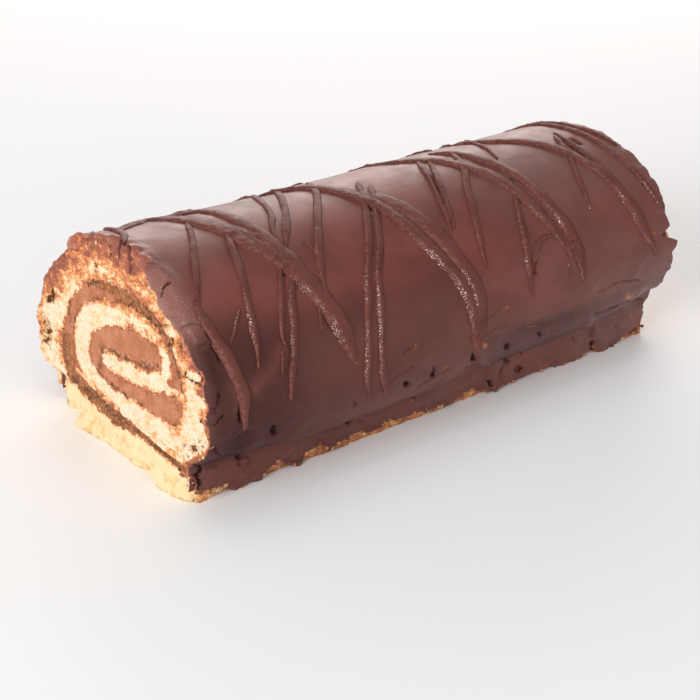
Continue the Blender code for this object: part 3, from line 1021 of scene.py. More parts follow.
def base_lumps(y, z, seed):
    """Cauliflower-like lumps at the foot of a cut, and how deep the hollows are."""
    low = 1 - smoothstep(z, 4.0, 10.5)
    warp = 1.2 * fbm(flat(y, z, seed * 3.3), 5, 2, 67)
    large = lumps(y + warp, z - warp, 5.2, 65 + seed, 0.5)
    small = lumps(y, z + warp, 2.1, 66 + seed, 0.4)
    flare = look_up(BASE_FOOT, y) + 1.4 * fbm(flat(y, seed), 5, 2, 68)
    flare = flare * (1 - smoothstep(z, 0.5, 5.0))
    hollow = low * (1 - np.clip(0.9 * large + 0.4 * small, 0, 1))
    corner = (1 - smoothstep(y, -40, -32)) + 0.8 * smoothstep(y, 32, 38)
    corner = 3.2 * corner * (1 - smoothstep(z, 9.5, 12.5))
    return low * (1.3 * large + 0.5 * small - 0.8) + flare - corner, hollow


def cut_marks(y, z, depth, u, seed):
    """Tone from coat to clean crumb, and painted shade of the pits, of a cut."""
    ragged = depth * (1 + 0.12 * fbm(flat(y, z, seed * 9.1), 6, 2, 76))
    tone = rim_tone(u, ragged, NEAR_TONE if seed == 1 else FAR_TONE)
    dark = np.zeros(len(y))
    for at, reach, strength in PITTED:
        dark = np.maximum(dark, strength * hump(u, at, reach, 4) * band(depth, 0, 1.5, 6, 9))
    if seed == 1:
        dark = np.maximum(dark, strongest(u, depth, DARK_MARKS, 4, 1.25))
    return tone, dark


def grainy_marks(y, z):
    """Where the sheet was rolled tight, so that the cream is worked into the crumb."""
    return np.max((
        smoothstep(z, 50, 56),
        1 - smoothstep(z, 16.0, 18.5),
        smoothstep(y, 27, 31) * (1 - smoothstep(z, 25, 31)),
        0.45 * (1 - smoothstep(y, -29, -26)),
    ), axis=0)


def cut_points(layout, seed, node):
    """One cut: the shared layout made ragged, its relief and its marks."""
    y, z = layout["points"].T
    free = smoothstep(layout["to_outside"], 0.5, 3.0)
    p = flat(y, z, seed * 11.7)
    y, z = y + free * layers(p, RAGGED_Y), z + free * layers(p, RAGGED_Z)
    pores = dents(y, z, 2.6, 63 + seed, (0.5, 0.7), (0.12, 0.34))
    small = dents(y, z, 1.3, 64 + seed, (0.2, 0.6), (0.15, 0.42))
    base, hollow = base_lumps(y, z, seed)
    tone, dark = cut_marks(y, z, layout["depth"], layout["u"], seed)
    crumb = layers(flat(y, z, seed * 7.3), CRUMB_WAVES) - 0.6 * pores - 0.25 * small + base
    crumb = crumb - 1.1 * dark + (1 - tone) * (0.3 + 0.7 * fbm(p, 2.2, 3, 77))
    cream = -0.25 + 0.22 * fbm(p, 4, 3, 75)
    join = smoothstep(layout["to_edge"], 0.0, 0.9)
    level = cream if node == "filling" else crumb
    lift = (0.5 * (crumb + cream) - 0.1) * (1 - join) + level * join
    marks = {
        "seam": layout["to_edge"],
        "grainy": grainy_marks(y, z),
        "rubbed": strongest(y, z, RUBBED),
        "bridge": strongest(y, z, BRIDGES, 4),
        "pores": np.clip(pores + 0.35 * small, 0, 1),
        "hollow": hollow,
        "tone": tone,
        "dark": dark,
        "high": z,
    }
    return y, z, lift, marks


def closed_solid(near, far, rows, triangles, loop):
    """One closed mesh from two cuts and the wall rows between them."""
    used = np.unique(triangles)
    count = len(used)
    index = np.full(len(near), -1)
    index[used] = np.arange(count)
    near_faces, loop = index[triangles], index[np.array(loop)]
    walls = 2 * count + np.arange(len(rows) * len(loop)).reshape(len(rows), -1)
    rings = [loop, *walls, loop + count]
    faces = near_faces.tolist() + (near_faces[:, ::-1] + count).tolist()
    for here, there in zip(rings[:-1], rings[1:]):
        quads = np.stack((here, np.roll(here, -1), np.roll(there, -1), there), axis=1)
        faces += quads.tolist()
    return np.vstack((near[used], far[used], *rows)), faces, used


def crumb_skirt(sign, start):
    """Crumbly side of the base that shows under the coat's hem; sign -1 is the front."""
    x = np.linspace(SKIRT_NEAR[0][0], FAR - 0.6, 300)[:, None]
    z = SKIRT_Z * (1.25 + 0.25 * (1 - smoothstep(x, -99, -91)))
    x = x + 0 * z
    p = flat(x, z + 40 * sign)
    near = look_up(SKIRT_NEAR, x) * (1 - smoothstep(z, 4, 7.5))
    out = (39.4 + near if sign < 0 else 37.5 + 0.4 * near) + layers(p, SKIRT_WAVES)
    out[:, -2:] = 36.0
    points = place(x, sign * out, z)
    points[..., 2] = np.maximum(points[..., 2], 0.05)
    # darker past x -82: partly browned crumb, partly painted shade under the hem
    tone = 0.88 - 0.56 * smoothstep(x, -91, -82) + 0.35 * fbm(p, 6, 3, 83)
    return points.reshape(-1, 3), grid_faces(*x.shape, start, wrap=True), tone.ravel()


def make_layer(name, node, material, layout, middle, skirts):
    """One layer of the roll as a closed solid between its two cuts."""
    cuts, marks = [], []
    for seed, x_cut, sign in ((1, NEAR, -1), (2, FAR, 1)):
        y, z, lift, made = cut_points(layout, seed, node)
        y, z = tucked(x_cut, y, z, layout["depth"], layout["u"])
        placed = place(np.full(len(y), x_cut), y, np.maximum(z, 0))
        placed[:, 0] += sign * lift
        cuts.append(placed)
        marks.append(made)
    depth, u = outline_depth(middle)
    rows = [place(np.full(len(middle), at), *tucked(at, *middle.T, depth, u)) for at in WALL_X]
    every, faces, used = closed_solid(*cuts, rows, *layout[node])
    tones = [np.full(len(every) - 2 * len(used), WALL_MARKS["tone"])]
    for sign in skirts:
        skirt, skirt_faces, skirt_tone = crumb_skirt(sign, len(every))
        every = np.vstack((every, skirt))
        faces += skirt_faces
        tones.append(skirt_tone)
    rest = len(every) - 2 * len(used)
    walls = {key: np.full(rest, WALL_MARKS.get(key, 0.0)) for key in marks[0]}
    walls["tone"] = np.concatenate(tones)
    attributes = {key: np.concatenate((marks[0][key][used], marks[1][key][used], walls[key]))
                  for key in walls}
    piece = new_piece(name, every, faces, material, attributes)
    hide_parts(node)


def make_crumb_and_cream(sponge, filling):
    layout = section_layout()
    middle = np.vstack((layout["edge"], sponge_outside(False)))
    make_layer("sponge_crumb", "sponge", sponge, layout, middle, (-1, 1))
    middle = layout["points"][layout["filling"][1]]
    make_layer("filling_cream", "filling", filling, layout, middle, ())


# ---------------------------------------------------------------- drizzle
# Chocolate lines over the coat: width, height, then x, u points from back to front.
STRANDS = (
    (3.6, 0.8, ((-94, -30), (-96, -22), (-97.5, -14), (-100, -8), (-104, -3))),
    (8.2, 1.0, ((-97, -15), (-92, -19), (-86, -23), (-78, -26), (-71, -13), (-67, -4), (-64, 4),
                (-61.5, 12), (-57.5, 21), (-54.8, 29), (-52.2, 38), (-49.6, 47), (-48, 55),
                (-46.8, 64))),
    (5.8, 0.95, ((-84, -27), (-70, -22), (-61, -20), (-58, -8), (-56.5, 3), (-55, 11), (-54, 18),
                (-52.5, 26), (-51, 34))),
    (8.0, 1.15, ((-63, -2), (-60.5, 5), (-58, 12), (-55.5, 19), (-53.5, 26), (-52, 33))),
    (1.5, 0.6, ((-54.4, 43), (-55.6, 47), (-56.5, 51))),
    (2.6, 0.9, ((-72, -10), (-77.5, 0), (-84, 10.5), (-90.5, 20.5), (-95, 29), (-97.5, 34))),
    (5.0, 1.2, ((-97, 29), (-98, 36), (-97.2, 42), (-94.8, 49), (-93, 56), (-91.6, 62),
                (-91.2, 68), (-91.4, 75))),
    (3.2, 1.0, ((-65.8, 4), (-72, 20), (-76.5, 31), (-80, 41), (-83.8, 57))),
    (1.6, 0.6, ((-82.3, 36.5), (-87, 41.5), (-93, 48))),
    (2.6, 1.0, ((-58.5, 25.5), (-63, 32), (-67.5, 40), (-70.5, 46), (-72, 52))),
    (2.4, 0.9, ((-73.8, 52.5), (-74.5, 56), (-75, 61))),
    (3.2, 1.1, ((-57.5, 31), (-61.5, 37), (-64.8, 44), (-67.2, 50), (-69.3, 56), (-71.3, 62),
                (-72.9, 70))),
    (2.6, 0.9, ((-31, -32), (-38, -17.5), (-44.5, -1), (-48.5, 5), (-53, 13.5))),
    (3.0, 0.9, ((-20, -36), (-28, -20), (-37.5, -3), (-42.5, 5), (-47, 11), (-52, 18.5))),
    (3.2, 1.0, ((-12, -24), (-20, -9), (-26, 0), (-33, 10), (-39.5, 19.5), (-43.5, 25.5),
                (-47, 33), (-49, 39))),
    (1.8, 0.7, ((-44.8, 17.2), (-43.2, 21), (-44, 25))),
    (6.0, 1.3, ((-36, -22), (-28, -22), (-20, -17), (-15, -8), (-10.5, 2), (-7, 13), (-4.8, 22),
                (-3.4, 30), (-0.6, 39), (3.0, 48), (5.4, 57), (5.6, 64), (5.2, 72))),
    (7.4, 0.9, ((-12, -7), (-6, 3), (-1, 13), (2, 22), (3.8, 30), (5.6, 39), (8, 48),
                (9.0, 57), (8, 64), (6.6, 72), (7.6, 79))),
    (3.0, 1.0, ((-2, -9), (-10.5, 6.5), (-20.5, 22), (-27.5, 32.5), (-33, 41), (-37.3, 50),
                (-39.5, 58), (-41.2, 67), (-41.2, 73), (-39, 81))),
    (3.0, 1.0, ((0, -4), (-8.5, 10), (-16, 22), (-22, 31), (-28, 40), (-31.8, 50), (-34, 58),
                (-35.6, 68), (-34.6, 75), (-32, 82))),
    (3.0, 1.0, ((28, -12), (20.5, 5.5), (13, 23), (9.5, 31.5))),
    (2.6, 0.9, ((31, -9), (24, 4), (18, 16), (11.5, 30.5))),
    (3.0, 1.0, ((45, -14), (37.5, 3), (29, 15.5), (21.8, 30), (17.5, 40), (15.4, 48))),
    (5.6, 1.1, ((16, -26), (25, -17), (33, -9), (39, 2), (44, 12), (46.5, 21), (48.5, 32),
                (50.8, 41), (52.8, 50))),
    (1.3, 0.6, ((52.4, 48), (52, 54), (52, 60))),
    (5.4, 1.2, ((38, -18), (45, -9), (49, 2), (52, 11), (54.5, 25), (56.2, 36), (57.4, 46),
                (58.4, 54), (58, 64))),
    (3.2, 1.1, ((45, 23), (39, 36), (35, 48), (33.4, 56), (33, 63))),
    (2.0, 0.9, ((35.3, 55), (37.2, 50), (40, 46), (43.5, 43.8), (47, 43.5), (50, 45),
                (52, 48.5))),
    (2.4, 0.9, ((88, -4), (82, 11), (76.5, 23), (71, 39))),
    (5.6, 1.1, ((54, -24), (65, -13), (74, -5), (79, 3), (83, 12), (86, 20), (88.3, 29),
                (89.8, 38), (90.8, 46), (92, 53), (94, 58), (95.4, 63.5))),
    (2.6, 0.9, ((90, -6), (88.6, 4), (89, 12), (89.8, 20), (90.8, 32))),
    (3.4, 1.0, ((92, -44), (95, -30), (97, -10), (99.3, 4), (100.4, 15), (101.6, 28),
                (102.3, 38), (104, 47))),
    (3.0, 1.0, ((97, -40), (99, -26), (101, -8), (104, 4), (105.5, 14))),
    (2.4, 0.9, ((66, -30), (60, -18), (57, -6), (54, 3))),
)
# The same kind of lines down the back.
BACK_STRANDS = (
    (3.4, 1.0, ((-88, -90), (-91, -70), (-95, -50), (-97, -32))),
    (5.2, 1.3, ((-60, -74), (-66, -60), (-72, -44), (-80, -30))),
    (3.2, 1.0, ((-78, -84), (-74, -62), (-66, -42), (-60, -24))),
    (3.0, 0.9, ((-40, -86), (-47, -66), (-55, -46), (-62, -26))),
    (3.4, 1.1, ((-52, -78), (-44, -60), (-37, -42), (-31, -30))),
    (5.8, 1.3, ((-14, -80), (-20, -62), (-28, -44), (-36, -26))),
    (3.0, 1.0, ((-24, -72), (-22, -54), (-20, -38))),
    (3.2, 1.0, ((8, -88), (2, -68), (-6, -48), (-12, -28))),
    (3.0, 0.9, ((0, -76), (8, -56), (16, -38), (22, -22))),
    (5.4, 1.3, ((40, -78), (34, -60), (26, -42), (18, -26))),
    (3.0, 1.0, ((30, -82), (38, -62), (42, -42), (45, -24))),
    (3.2, 1.0, ((56, -86), (58, -66), (62, -46), (66, -30))),
    (4.8, 1.2, ((80, -76), (72, -58), (62, -40), (54, -24))),
    (3.0, 0.9, ((70, -80), (80, -60), (88, -44), (92, -30))),
    (3.2, 1.0, ((96, -88), (94, -68), (96, -48), (99, -30))),
)
# Two drips that ran over the near cut: width, height, then y, z points.
DRIPS = (
    (2.6, 0.9, ((4, 75.2), (4.2, 72), (3.9, 69), (4.2, 65.6))),
    (3.2, 0.9, ((0, 75), (-1.6, 72.5), (-2.7, 69.5), (-3.4, 65.6))),
)
# Cross-section of a line: place from its left foot to its right, and height there.
PROFILE = np.array(((-1.0, -0.5), (-0.92, 0.3), (-0.74, 0.85), (-0.48, 1.0), (-0.12, 0.92),
                    (0.3, 0.80), (0.66, 0.56), (0.9, 0.2), (1.0, -0.5)))


def strand_size(length, width, at):
    """Share of its full width along a strand: blunt start, thin uneven tail."""
    to_end = length[-1] - length
    size = 1 + 0.22 * fbm(at, 7, 3, 92)
    size = size * np.sqrt(smoothstep(length, -0.4, 2.2 * width))
    tip = 1 - np.clip(to_end / (0.5 * width), 0, 1)
    size = size * np.sqrt(np.clip(1 - tip ** 2, 0.02, 1))
    return size * (0.42 + 0.58 * smoothstep(to_end, 0, 12))


def strand(surface, width, height, points, seed, start):
    """Rings of one half-round strand laid on a surface, its faces and its marks."""
    path = resample(smooth_curve(points, 8), 0.7)
    length = run_length(path)
    at = flat(length, seed * 5.1)
    along = unit(np.gradient(path, axis=0))
    across = np.stack((along[:, 1], -along[:, 0]), axis=1)
    path = path + across * (0.35 * fbm(at, 9, 2, 91))[:, None]
    size = strand_size(length, width, at)[:, None]
    place_in, level = PROFILE.T
    a, b = (path[:, k:k + 1] + across[:, k:k + 1] * place_in * 0.5 * width * size
            for k in (0, 1))
    grain = fbm(flat(a, b, seed), 1.3, 2, 93) * smoothstep(-place_in, -0.2, 0.5)
    lift = height * np.sqrt(size) * level + 0.4 * grain
    lift[:, 0] = lift[:, -1] = level[0]
    rings = surface(a, b, lift)
    # left flank: lighter grain, partly the grain itself and partly painted light on the lit side
    left = smoothstep(-place_in, 0.1, 0.6) + 0 * a
    # foot: painted contact shade along both feet, weaker on the left
    foot = smoothstep(abs(place_in), 0.86, 0.97) * np.where(place_in < 0, 0.4, 1.0) + 0 * a
    # lower and shine: where painted glints show on the left flank, low on the front
    lower = smoothstep(b, 24, 40) * (1 - 0.7 * smoothstep(b, 60, 82)) * smoothstep(a, -92, -87)
    marks = {"left": left, "foot": foot, "shine": left * lower}
    return rings.reshape(-1, 3), grid_faces(*a.shape, start, wrap=True), marks


def make_drizzle(material):
    points, faces, marks = [], [], {"left": [], "foot": [], "shine": []}
    jobs = [(coat_surface, *line) for line in STRANDS + BACK_STRANDS]
    jobs += [(face_surface, *line) for line in DRIPS]
    for seed, job in enumerate(jobs):
        made, quads, found = strand(*job, seed, sum(map(len, points)))
        points.append(made)
        faces += quads
        for key, values in found.items():
            marks[key].append(values.ravel())
    piece = new_piece("drizzle", np.vstack(points), faces, material,
                      {key: np.concatenate(values) for key, values in marks.items()})


# ---------------------------------------------------------------- loose crumbs
# Along the hems: start in x, count, side, hem, spread of u, largest radius.
HEM_CRUMBS = (
    (NEAR + 2, 90, 1, FRONT_HEM, (-0.6, 0.8), 0.95),
    (NEAR, 60, -1, BACK_HEM, (-0.8, 0.6), 0.9),
)
RIM_CRUMBS = 40              # crumbs round the near cut
PALE_BEFORE = -88            # x before which the crumbs may be pale


def crumb_places(rng):
    """Middle and radius of every loose crumb, and whether it may be pale."""
    found = []
    for start, count, sign, hem, spread, largest in HEM_CRUMBS:
        for x in rng.uniform(start, FAR, count):
            u = sign * look_up(hem, x) + rng.uniform(*spread)
            middle = coat_surface(np.array([x]), np.array([u]), -0.2)[0]
            found.append((middle, rng.uniform(0.35, largest), middle[0] < PALE_BEFORE))
    for u in rng.uniform(-108, 108, RIM_CRUMBS):
        inset = film_width(np.array([u]), NEAR_FILM, 41)[0] + rng.uniform(-0.4, 0.6)
        found.append((face_surface(*inset_at(u, inset), 0.2), rng.uniform(0.3, 0.8), True))
    return found


def make_crumbs(material):
    """Crumbs stuck along the hems and the cuts."""
    ball = bmesh.new()
    bmesh.ops.create_icosphere(ball, subdivisions=2, radius=1.0)
    shape = np.array([v.co[:] for v in ball.verts])
    shape_faces = np.array([[v.index for v in f.verts] for f in ball.faces])
    ball.free()
    rng = np.random.default_rng(7)
    points, faces, tone = [], [], []
    for number, (middle, radius, pale) in enumerate(crumb_places(rng)):
        stretch = rng.uniform(0.7, 1.25, 3)
        bumps = 1 + 0.35 * fbm(shape + number * 3.7, 0.9, 2, 95)
        points.append(middle + shape * bumps[:, None] * radius * stretch)
        faces += (shape_faces + number * len(shape)).tolist()
        tone.append(np.full(len(shape), rng.uniform(0, 0.9) if pale else rng.uniform(0.4, 1)))
    piece = new_piece("crumbs", np.vstack(points), faces, material,
                      {"tone": np.concatenate(tone)})


# ---------------------------------------------------------------- materials
class Field:
    """A value or colour in a material's node tree, with arithmetic."""

    def __init__(self, tree, socket):
        self.tree, self.socket = tree, socket

    def math(self, operation, other):
        node = self.tree.nodes.new("ShaderNodeMath")
        node.operation = operation
        connect(self, node.inputs[0])
        connect(other, node.inputs[1])
        return Field(self.tree, node.outputs[0])

    def __add__(self, other):
        return self.math("ADD", other)

    def __sub__(self, other):
        return self.math("SUBTRACT", other)

    def __mul__(self, other):
        return self.math("MULTIPLY", other)

    def __truediv__(self, other):
        return self.math("DIVIDE", other)


def connect(value, socket):
    """Give a socket a field, a colour or a number."""
    if isinstance(value, Field):
        value.tree.links.new(value.socket, socket)
    elif isinstance(value, tuple):
        socket.default_value = (*value, 1.0)
    else:
        socket.default_value = value


def noise(tree, size, detail=3.0, seed=0.0, rough=0.55, stroke=1.0):
    """Noise value with features of a size in mm, drawn out into slanting strokes."""
    mapping = tree.nodes.new("ShaderNodeMapping")
    mapping.vector_type = "TEXTURE"
    mapping.inputs["Location"].default_value = (seed, seed * 0.7, seed * 0.3)
    mapping.inputs["Rotation"].default_value = (math.radians(-20), 0, 0)
    mapping.inputs["Scale"].default_value = (1, stroke, 1)
    where = tree.nodes.new("ShaderNodeTexCoord").outputs["Object"]
    tree.links.new(where, mapping.inputs["Vector"])
    made = tree.nodes.new("ShaderNodeTexNoise")
    tree.links.new(mapping.outputs[0], made.inputs["Vector"])
    made.inputs["Scale"].default_value = 1 / (size * MM)
    made.inputs["Detail"].default_value = detail
    made.inputs["Roughness"].default_value = rough
    return Field(tree, made.outputs["Fac"])


def remap(value, low, high, out_low=0.0, out_high=1.0):
    """The value's smooth step from low to high, as out_low to out_high."""
    made = value.tree.nodes.new("ShaderNodeMapRange")
    made.interpolation_type = "SMOOTHSTEP"
    for index, item in enumerate((value, low, high, out_low, out_high)):
        connect(item, made.inputs[index])
    return Field(value.tree, made.outputs["Result"])


def threshold(share, pattern, soft):
    """Spots of a noise pattern that cover about the given share of the surface."""
    cut = remap(share, 0.0, 1.0, 0.66, 0.34)
    return remap(pattern, cut - soft, cut + soft) * remap(share, 0.0, 0.12)


def mix(factor, a, b, mode="MIX"):
    """Colour a turning into colour b."""
    tree = next(item.tree for item in (factor, a, b) if isinstance(item, Field))
    made = tree.nodes.new("ShaderNodeMix")
    made.data_type = "RGBA"
    made.blend_type = mode
    for index, item in ((0, factor), (6, a), (7, b)):
        connect(item, made.inputs[index])
    return Field(tree, made.outputs[2])


def marks_of(tree, *names):
    """Fields of the mesh's own attributes."""
    for name in names:
        made = tree.nodes.new("ShaderNodeAttribute")
        made.attribute_name = name
        yield Field(tree, made.outputs["Fac"])


def bump(height, depth, below=None):
    """Bump from a height, depth in mm, over an earlier bump."""
    made = height.tree.nodes.new("ShaderNodeBump")
    made.inputs["Strength"].default_value = 1.0
    made.inputs["Distance"].default_value = depth * MM
    connect(height, made.inputs["Height"])
    if below is not None:
        connect(below, made.inputs["Normal"])
    return Field(height.tree, made.outputs["Normal"])


def new_material(name, roughness, specular, tint=(1.0, 1.0, 1.0)):
    """A material, its node tree and the inputs of its shader."""
    material = bpy.data.materials.new(name)
    material.use_nodes = True
    tree = material.node_tree
    inputs = tree.nodes["Principled BSDF"].inputs
    connect(roughness, inputs["Roughness"])
    connect(specular, inputs["Specular IOR Level"])
    connect(tint, inputs["Specular Tint"])
    return material, tree, inputs


# Colours of chocolate, cream and crumb.
GLOSS = (1.0, 0.72, 0.64)
COAT_DARK, COAT_LIGHT = (0.150, 0.043, 0.035), (0.215, 0.063, 0.049)
COAT_SHADE, COAT_GREY_SHEEN = (0.066, 0.021, 0.021), (0.185, 0.092, 0.084)
COAT_DULL_SHADE, COAT_CRACK_SHADE = (0.030, 0.010, 0.010), (0.022, 0.007, 0.006)
COAT_BLOOM, COAT_SPECK = (0.30, 0.140, 0.115), (0.48, 0.33, 0.29)
COAT_LOW = (0.26, 0.085, 0.040)
FLECK_RUST, FLECK_CRUMB = (0.36, 0.10, 0.038), (0.60, 0.33, 0.15)
DRIZZLE_DARK, DRIZZLE_LIGHT = (0.125, 0.036, 0.029), (0.170, 0.053, 0.043)
DRIZZLE_LIT_GRAIN, DRIZZLE_GLINT = (0.26, 0.110, 0.090), (0.85, 0.72, 0.68)
DRIZZLE_CONTACT_SHADE = (0.045, 0.014, 0.012)
CREAM_DARK, CREAM_LIGHT = (0.46, 0.155, 0.068), (0.58, 0.232, 0.125)
CREAM_GRAIN, CREAM_AMBER = (0.30, 0.092, 0.030), (0.62, 0.29, 0.12)
BASE_WARM, BASE_PALE = (0.93, 0.70, 0.38), (0.95, 0.76, 0.46)
CRUMB_HOLLOW_SHADE, CRUMB_PORE_SHADE = (0.85, 0.45, 0.16), (0.70, 0.42, 0.20)
SEAM_DARK, SEAM_LIGHT = (0.115, 0.042, 0.015), (0.85, 0.56, 0.32)
PIT_RIM, PIT_SHADE = (0.60, 0.30, 0.10), (0.11, 0.038, 0.014)
LOOSE_PALE, LOOSE_BROWN = (0.90, 0.68, 0.42), (0.50, 0.22, 0.09)
LOOSE_DARK, LOOSE_MOTTLE = (0.14, 0.05, 0.035), (0.40, 0.18, 0.08)
# Colour from the coat's brown through browned crumb to clean crumb: tone, colour.
CRUST = (                    # from the coat's brown through browned crumb to clean crumb
    (0.00, (0.30, 0.098, 0.068)),
    (0.25, (0.47, 0.150, 0.086)),
    (0.48, (0.68, 0.235, 0.098)),
    (0.68, (0.86, 0.390, 0.145)),
    (0.87, (0.92, 0.590, 0.310)),
    (1.00, (0.92, 0.750, 0.540)),
)


def crust_color(tree, tone):
    """Colour of browned crumb for a tone, broken up into fine slanting strokes."""
    grain = ((noise(tree, 2.4, 5, 8, 0.72, 2.0) - 0.5) * 2.8
             + (noise(tree, 0.8, 3, 9, 0.7, 1.8) - 0.5) * 1.4
             + (noise(tree, 6, 3, 10, 0.6, 1.6) - 0.5) * 1.2)
    ramp = tree.nodes.new("ShaderNodeValToRGB")
    stops = ramp.color_ramp.elements
    for number, (at, color) in enumerate(CRUST):
        stop = stops[number] if number < 2 else stops.new(at)
        stop.position = at
        stop.color = (*color, 1)
    connect(tone + grain * remap(tone, 1.0, 0.75, 0.35, 1.0), ramp.inputs["Fac"])
    return Field(tree, ramp.outputs["Color"])


def chocolate_material():
    """Satin coat with bloom, cracks, and browned crumb showing through at the cuts, with painted
    shade low on the sides, under the belly, in the groove and in the cracks, and a painted grey
    sheen towards the far end.
    """
    material, tree, inputs = new_material("coat_chocolate", 0.45, 0.28, GLOSS)
    bloom, stain, tone, painted_shade, crack_shade, low, flecks, dull_shade, grey_sheen = marks_of(
        tree, "bloom", "stain", "tone", "painted_shade", "crack_shade", "low", "flecks", "dull_shade", "grey_sheen")
    color = mix(remap(noise(tree, 22, 3, 1), 0.3, 0.7), COAT_DARK, COAT_LIGHT)
    # painted shade: darker low on the sides and under the belly
    color = mix(painted_shade * 0.9, color, COAT_SHADE)
    # painted grey sheen towards the far end
    color = mix(grey_sheen * 0.5, color, COAT_GREY_SHEEN)
    # painted shade: nearly black in the near end of the front groove, weaker low on the near side
    color = mix(dull_shade * 0.6, color, COAT_DULL_SHADE)
    color = mix(bloom * 0.6, color, COAT_BLOOM)
    speck = remap(bloom, 0.1, 0.8) * remap(noise(tree, 0.38, 1, 4), 0.60, 0.70)
    color = mix(speck * 0.55, color, COAT_SPECK)
    # painted shade in the creases, cracks and below the lip
    crack_shade = remap(crack_shade + (noise(tree, 0.8, 3, 20) - 0.5) * 0.5, 0.2, 0.85)
    color = mix(crack_shade, color, COAT_CRACK_SHADE)
    ragged = stain + (noise(tree, 1.6, 4, 2, 0.65, 1.6) - 0.5) * 2.2
    shown = remap(ragged, 0.35, 0.65) * remap(stain, 0.02, 0.2)
    color = mix(shown, color, crust_color(tree, tone))
    color = mix(low * remap(noise(tree, 1.6, 3, 3), 0.56, 0.68), color, COAT_LOW)
    light = remap(flecks, 0.5, 0.95) * remap(noise(tree, 0.8, 2, 18), 0.44, 0.60)
    color = mix(threshold(flecks, noise(tree, 0.9, 3, 17, 0.7), 0.05), color,
                mix(light, FLECK_RUST, FLECK_CRUMB))
    connect(color, inputs["Base Color"])
    rough = remap(noise(tree, 6, 4, 5), 0.3, 0.7, 0.41, 0.50) + dull_shade * 0.35
    connect(rough - bloom * 0.24 + crack_shade * 0.5, inputs["Roughness"])
    soft = bump(noise(tree, 3.0, 4, 6), 0.05)
    connect(bump(noise(tree, 0.6, 2, 7), 0.02, soft), inputs["Normal"])
    return material


def drizzle_material():
    """Duller, grainy chocolate: lighter grain painted on the lit left flanks, painted glints low on
    the front and painted contact shade along the feet.
    """
    material, tree, inputs = new_material("drizzle_chocolate", 0.5, 0.22, GLOSS)
    left, foot, shine = marks_of(tree, "left", "foot", "shine")
    color = mix(remap(noise(tree, 12, 3, 11), 0.3, 0.7), DRIZZLE_DARK, DRIZZLE_LIGHT)
    # lighter grain on the left flank: partly grain, partly painted light on the lit side
    grain = left * remap(noise(tree, 1.0, 3, 12), 0.45, 0.62)
    color = mix(grain * 0.6, color, DRIZZLE_LIT_GRAIN)
    # painted glints on the left flank, low on the front
    speck = remap(shine, 0.3, 1.0) * remap(noise(tree, 0.5, 1, 13), 0.60, 0.67)
    color = mix(speck * remap(noise(tree, 14, 2, 19), 0.42, 0.56), color, DRIZZLE_GLINT)
    # painted contact shade along the strand's feet
    connect(mix(foot * 0.8, color, DRIZZLE_CONTACT_SHADE), inputs["Base Color"])
    connect(remap(noise(tree, 3, 3, 14), 0.3, 0.7, 0.50, 0.64), inputs["Roughness"])
    coarse = bump(noise(tree, 1.1, 3, 15), 0.16)
    connect(bump(noise(tree, 0.5, 2, 16), 0.05, coarse), inputs["Normal"])
    return material


def crumb_color(tree, tone, high):
    """Pale crumb, yellower in the base, browned towards the coat and the cream, with painted orange
    shade in the base's hollows and painted shade in the pores.
    """
    hollow, pores = marks_of(tree, "hollow", "pores")
    base = remap(high, 13.0, 10.0) * remap(tone, 0.6, 0.95, 0.0, 0.9)
    soft = mix(remap(noise(tree, 7, 3, 29), 0.35, 0.65), BASE_WARM, BASE_PALE)
    color = mix(base, crust_color(tree, tone), soft)
    # painted orange shade in the hollows between the base's lumps
    hollow = threshold(hollow * 0.9, noise(tree, 2.2, 4, 27), 0.1)
    color = mix(hollow * 0.7, color, CRUMB_HOLLOW_SHADE)
    # painted shade in the pores
    return mix(pores * 0.4, color, CRUMB_PORE_SHADE)


def cream_color(tree, grainy):
    """Cocoa cream, grainy where the sheet was rolled tight."""
    color = mix(remap(noise(tree, 5, 4, 31), 0.35, 0.65), CREAM_DARK, CREAM_LIGHT)
    coarse = threshold(grainy * 0.85, noise(tree, 2.6, 5, 35, 0.7, 1.4), 0.10)
    color = mix(coarse * 0.8, color, CREAM_GRAIN)
    amber = threshold(grainy * 0.4, noise(tree, 1.6, 5, 36, 0.7), 0.05)
    return mix(amber * 0.7, color, CREAM_AMBER)


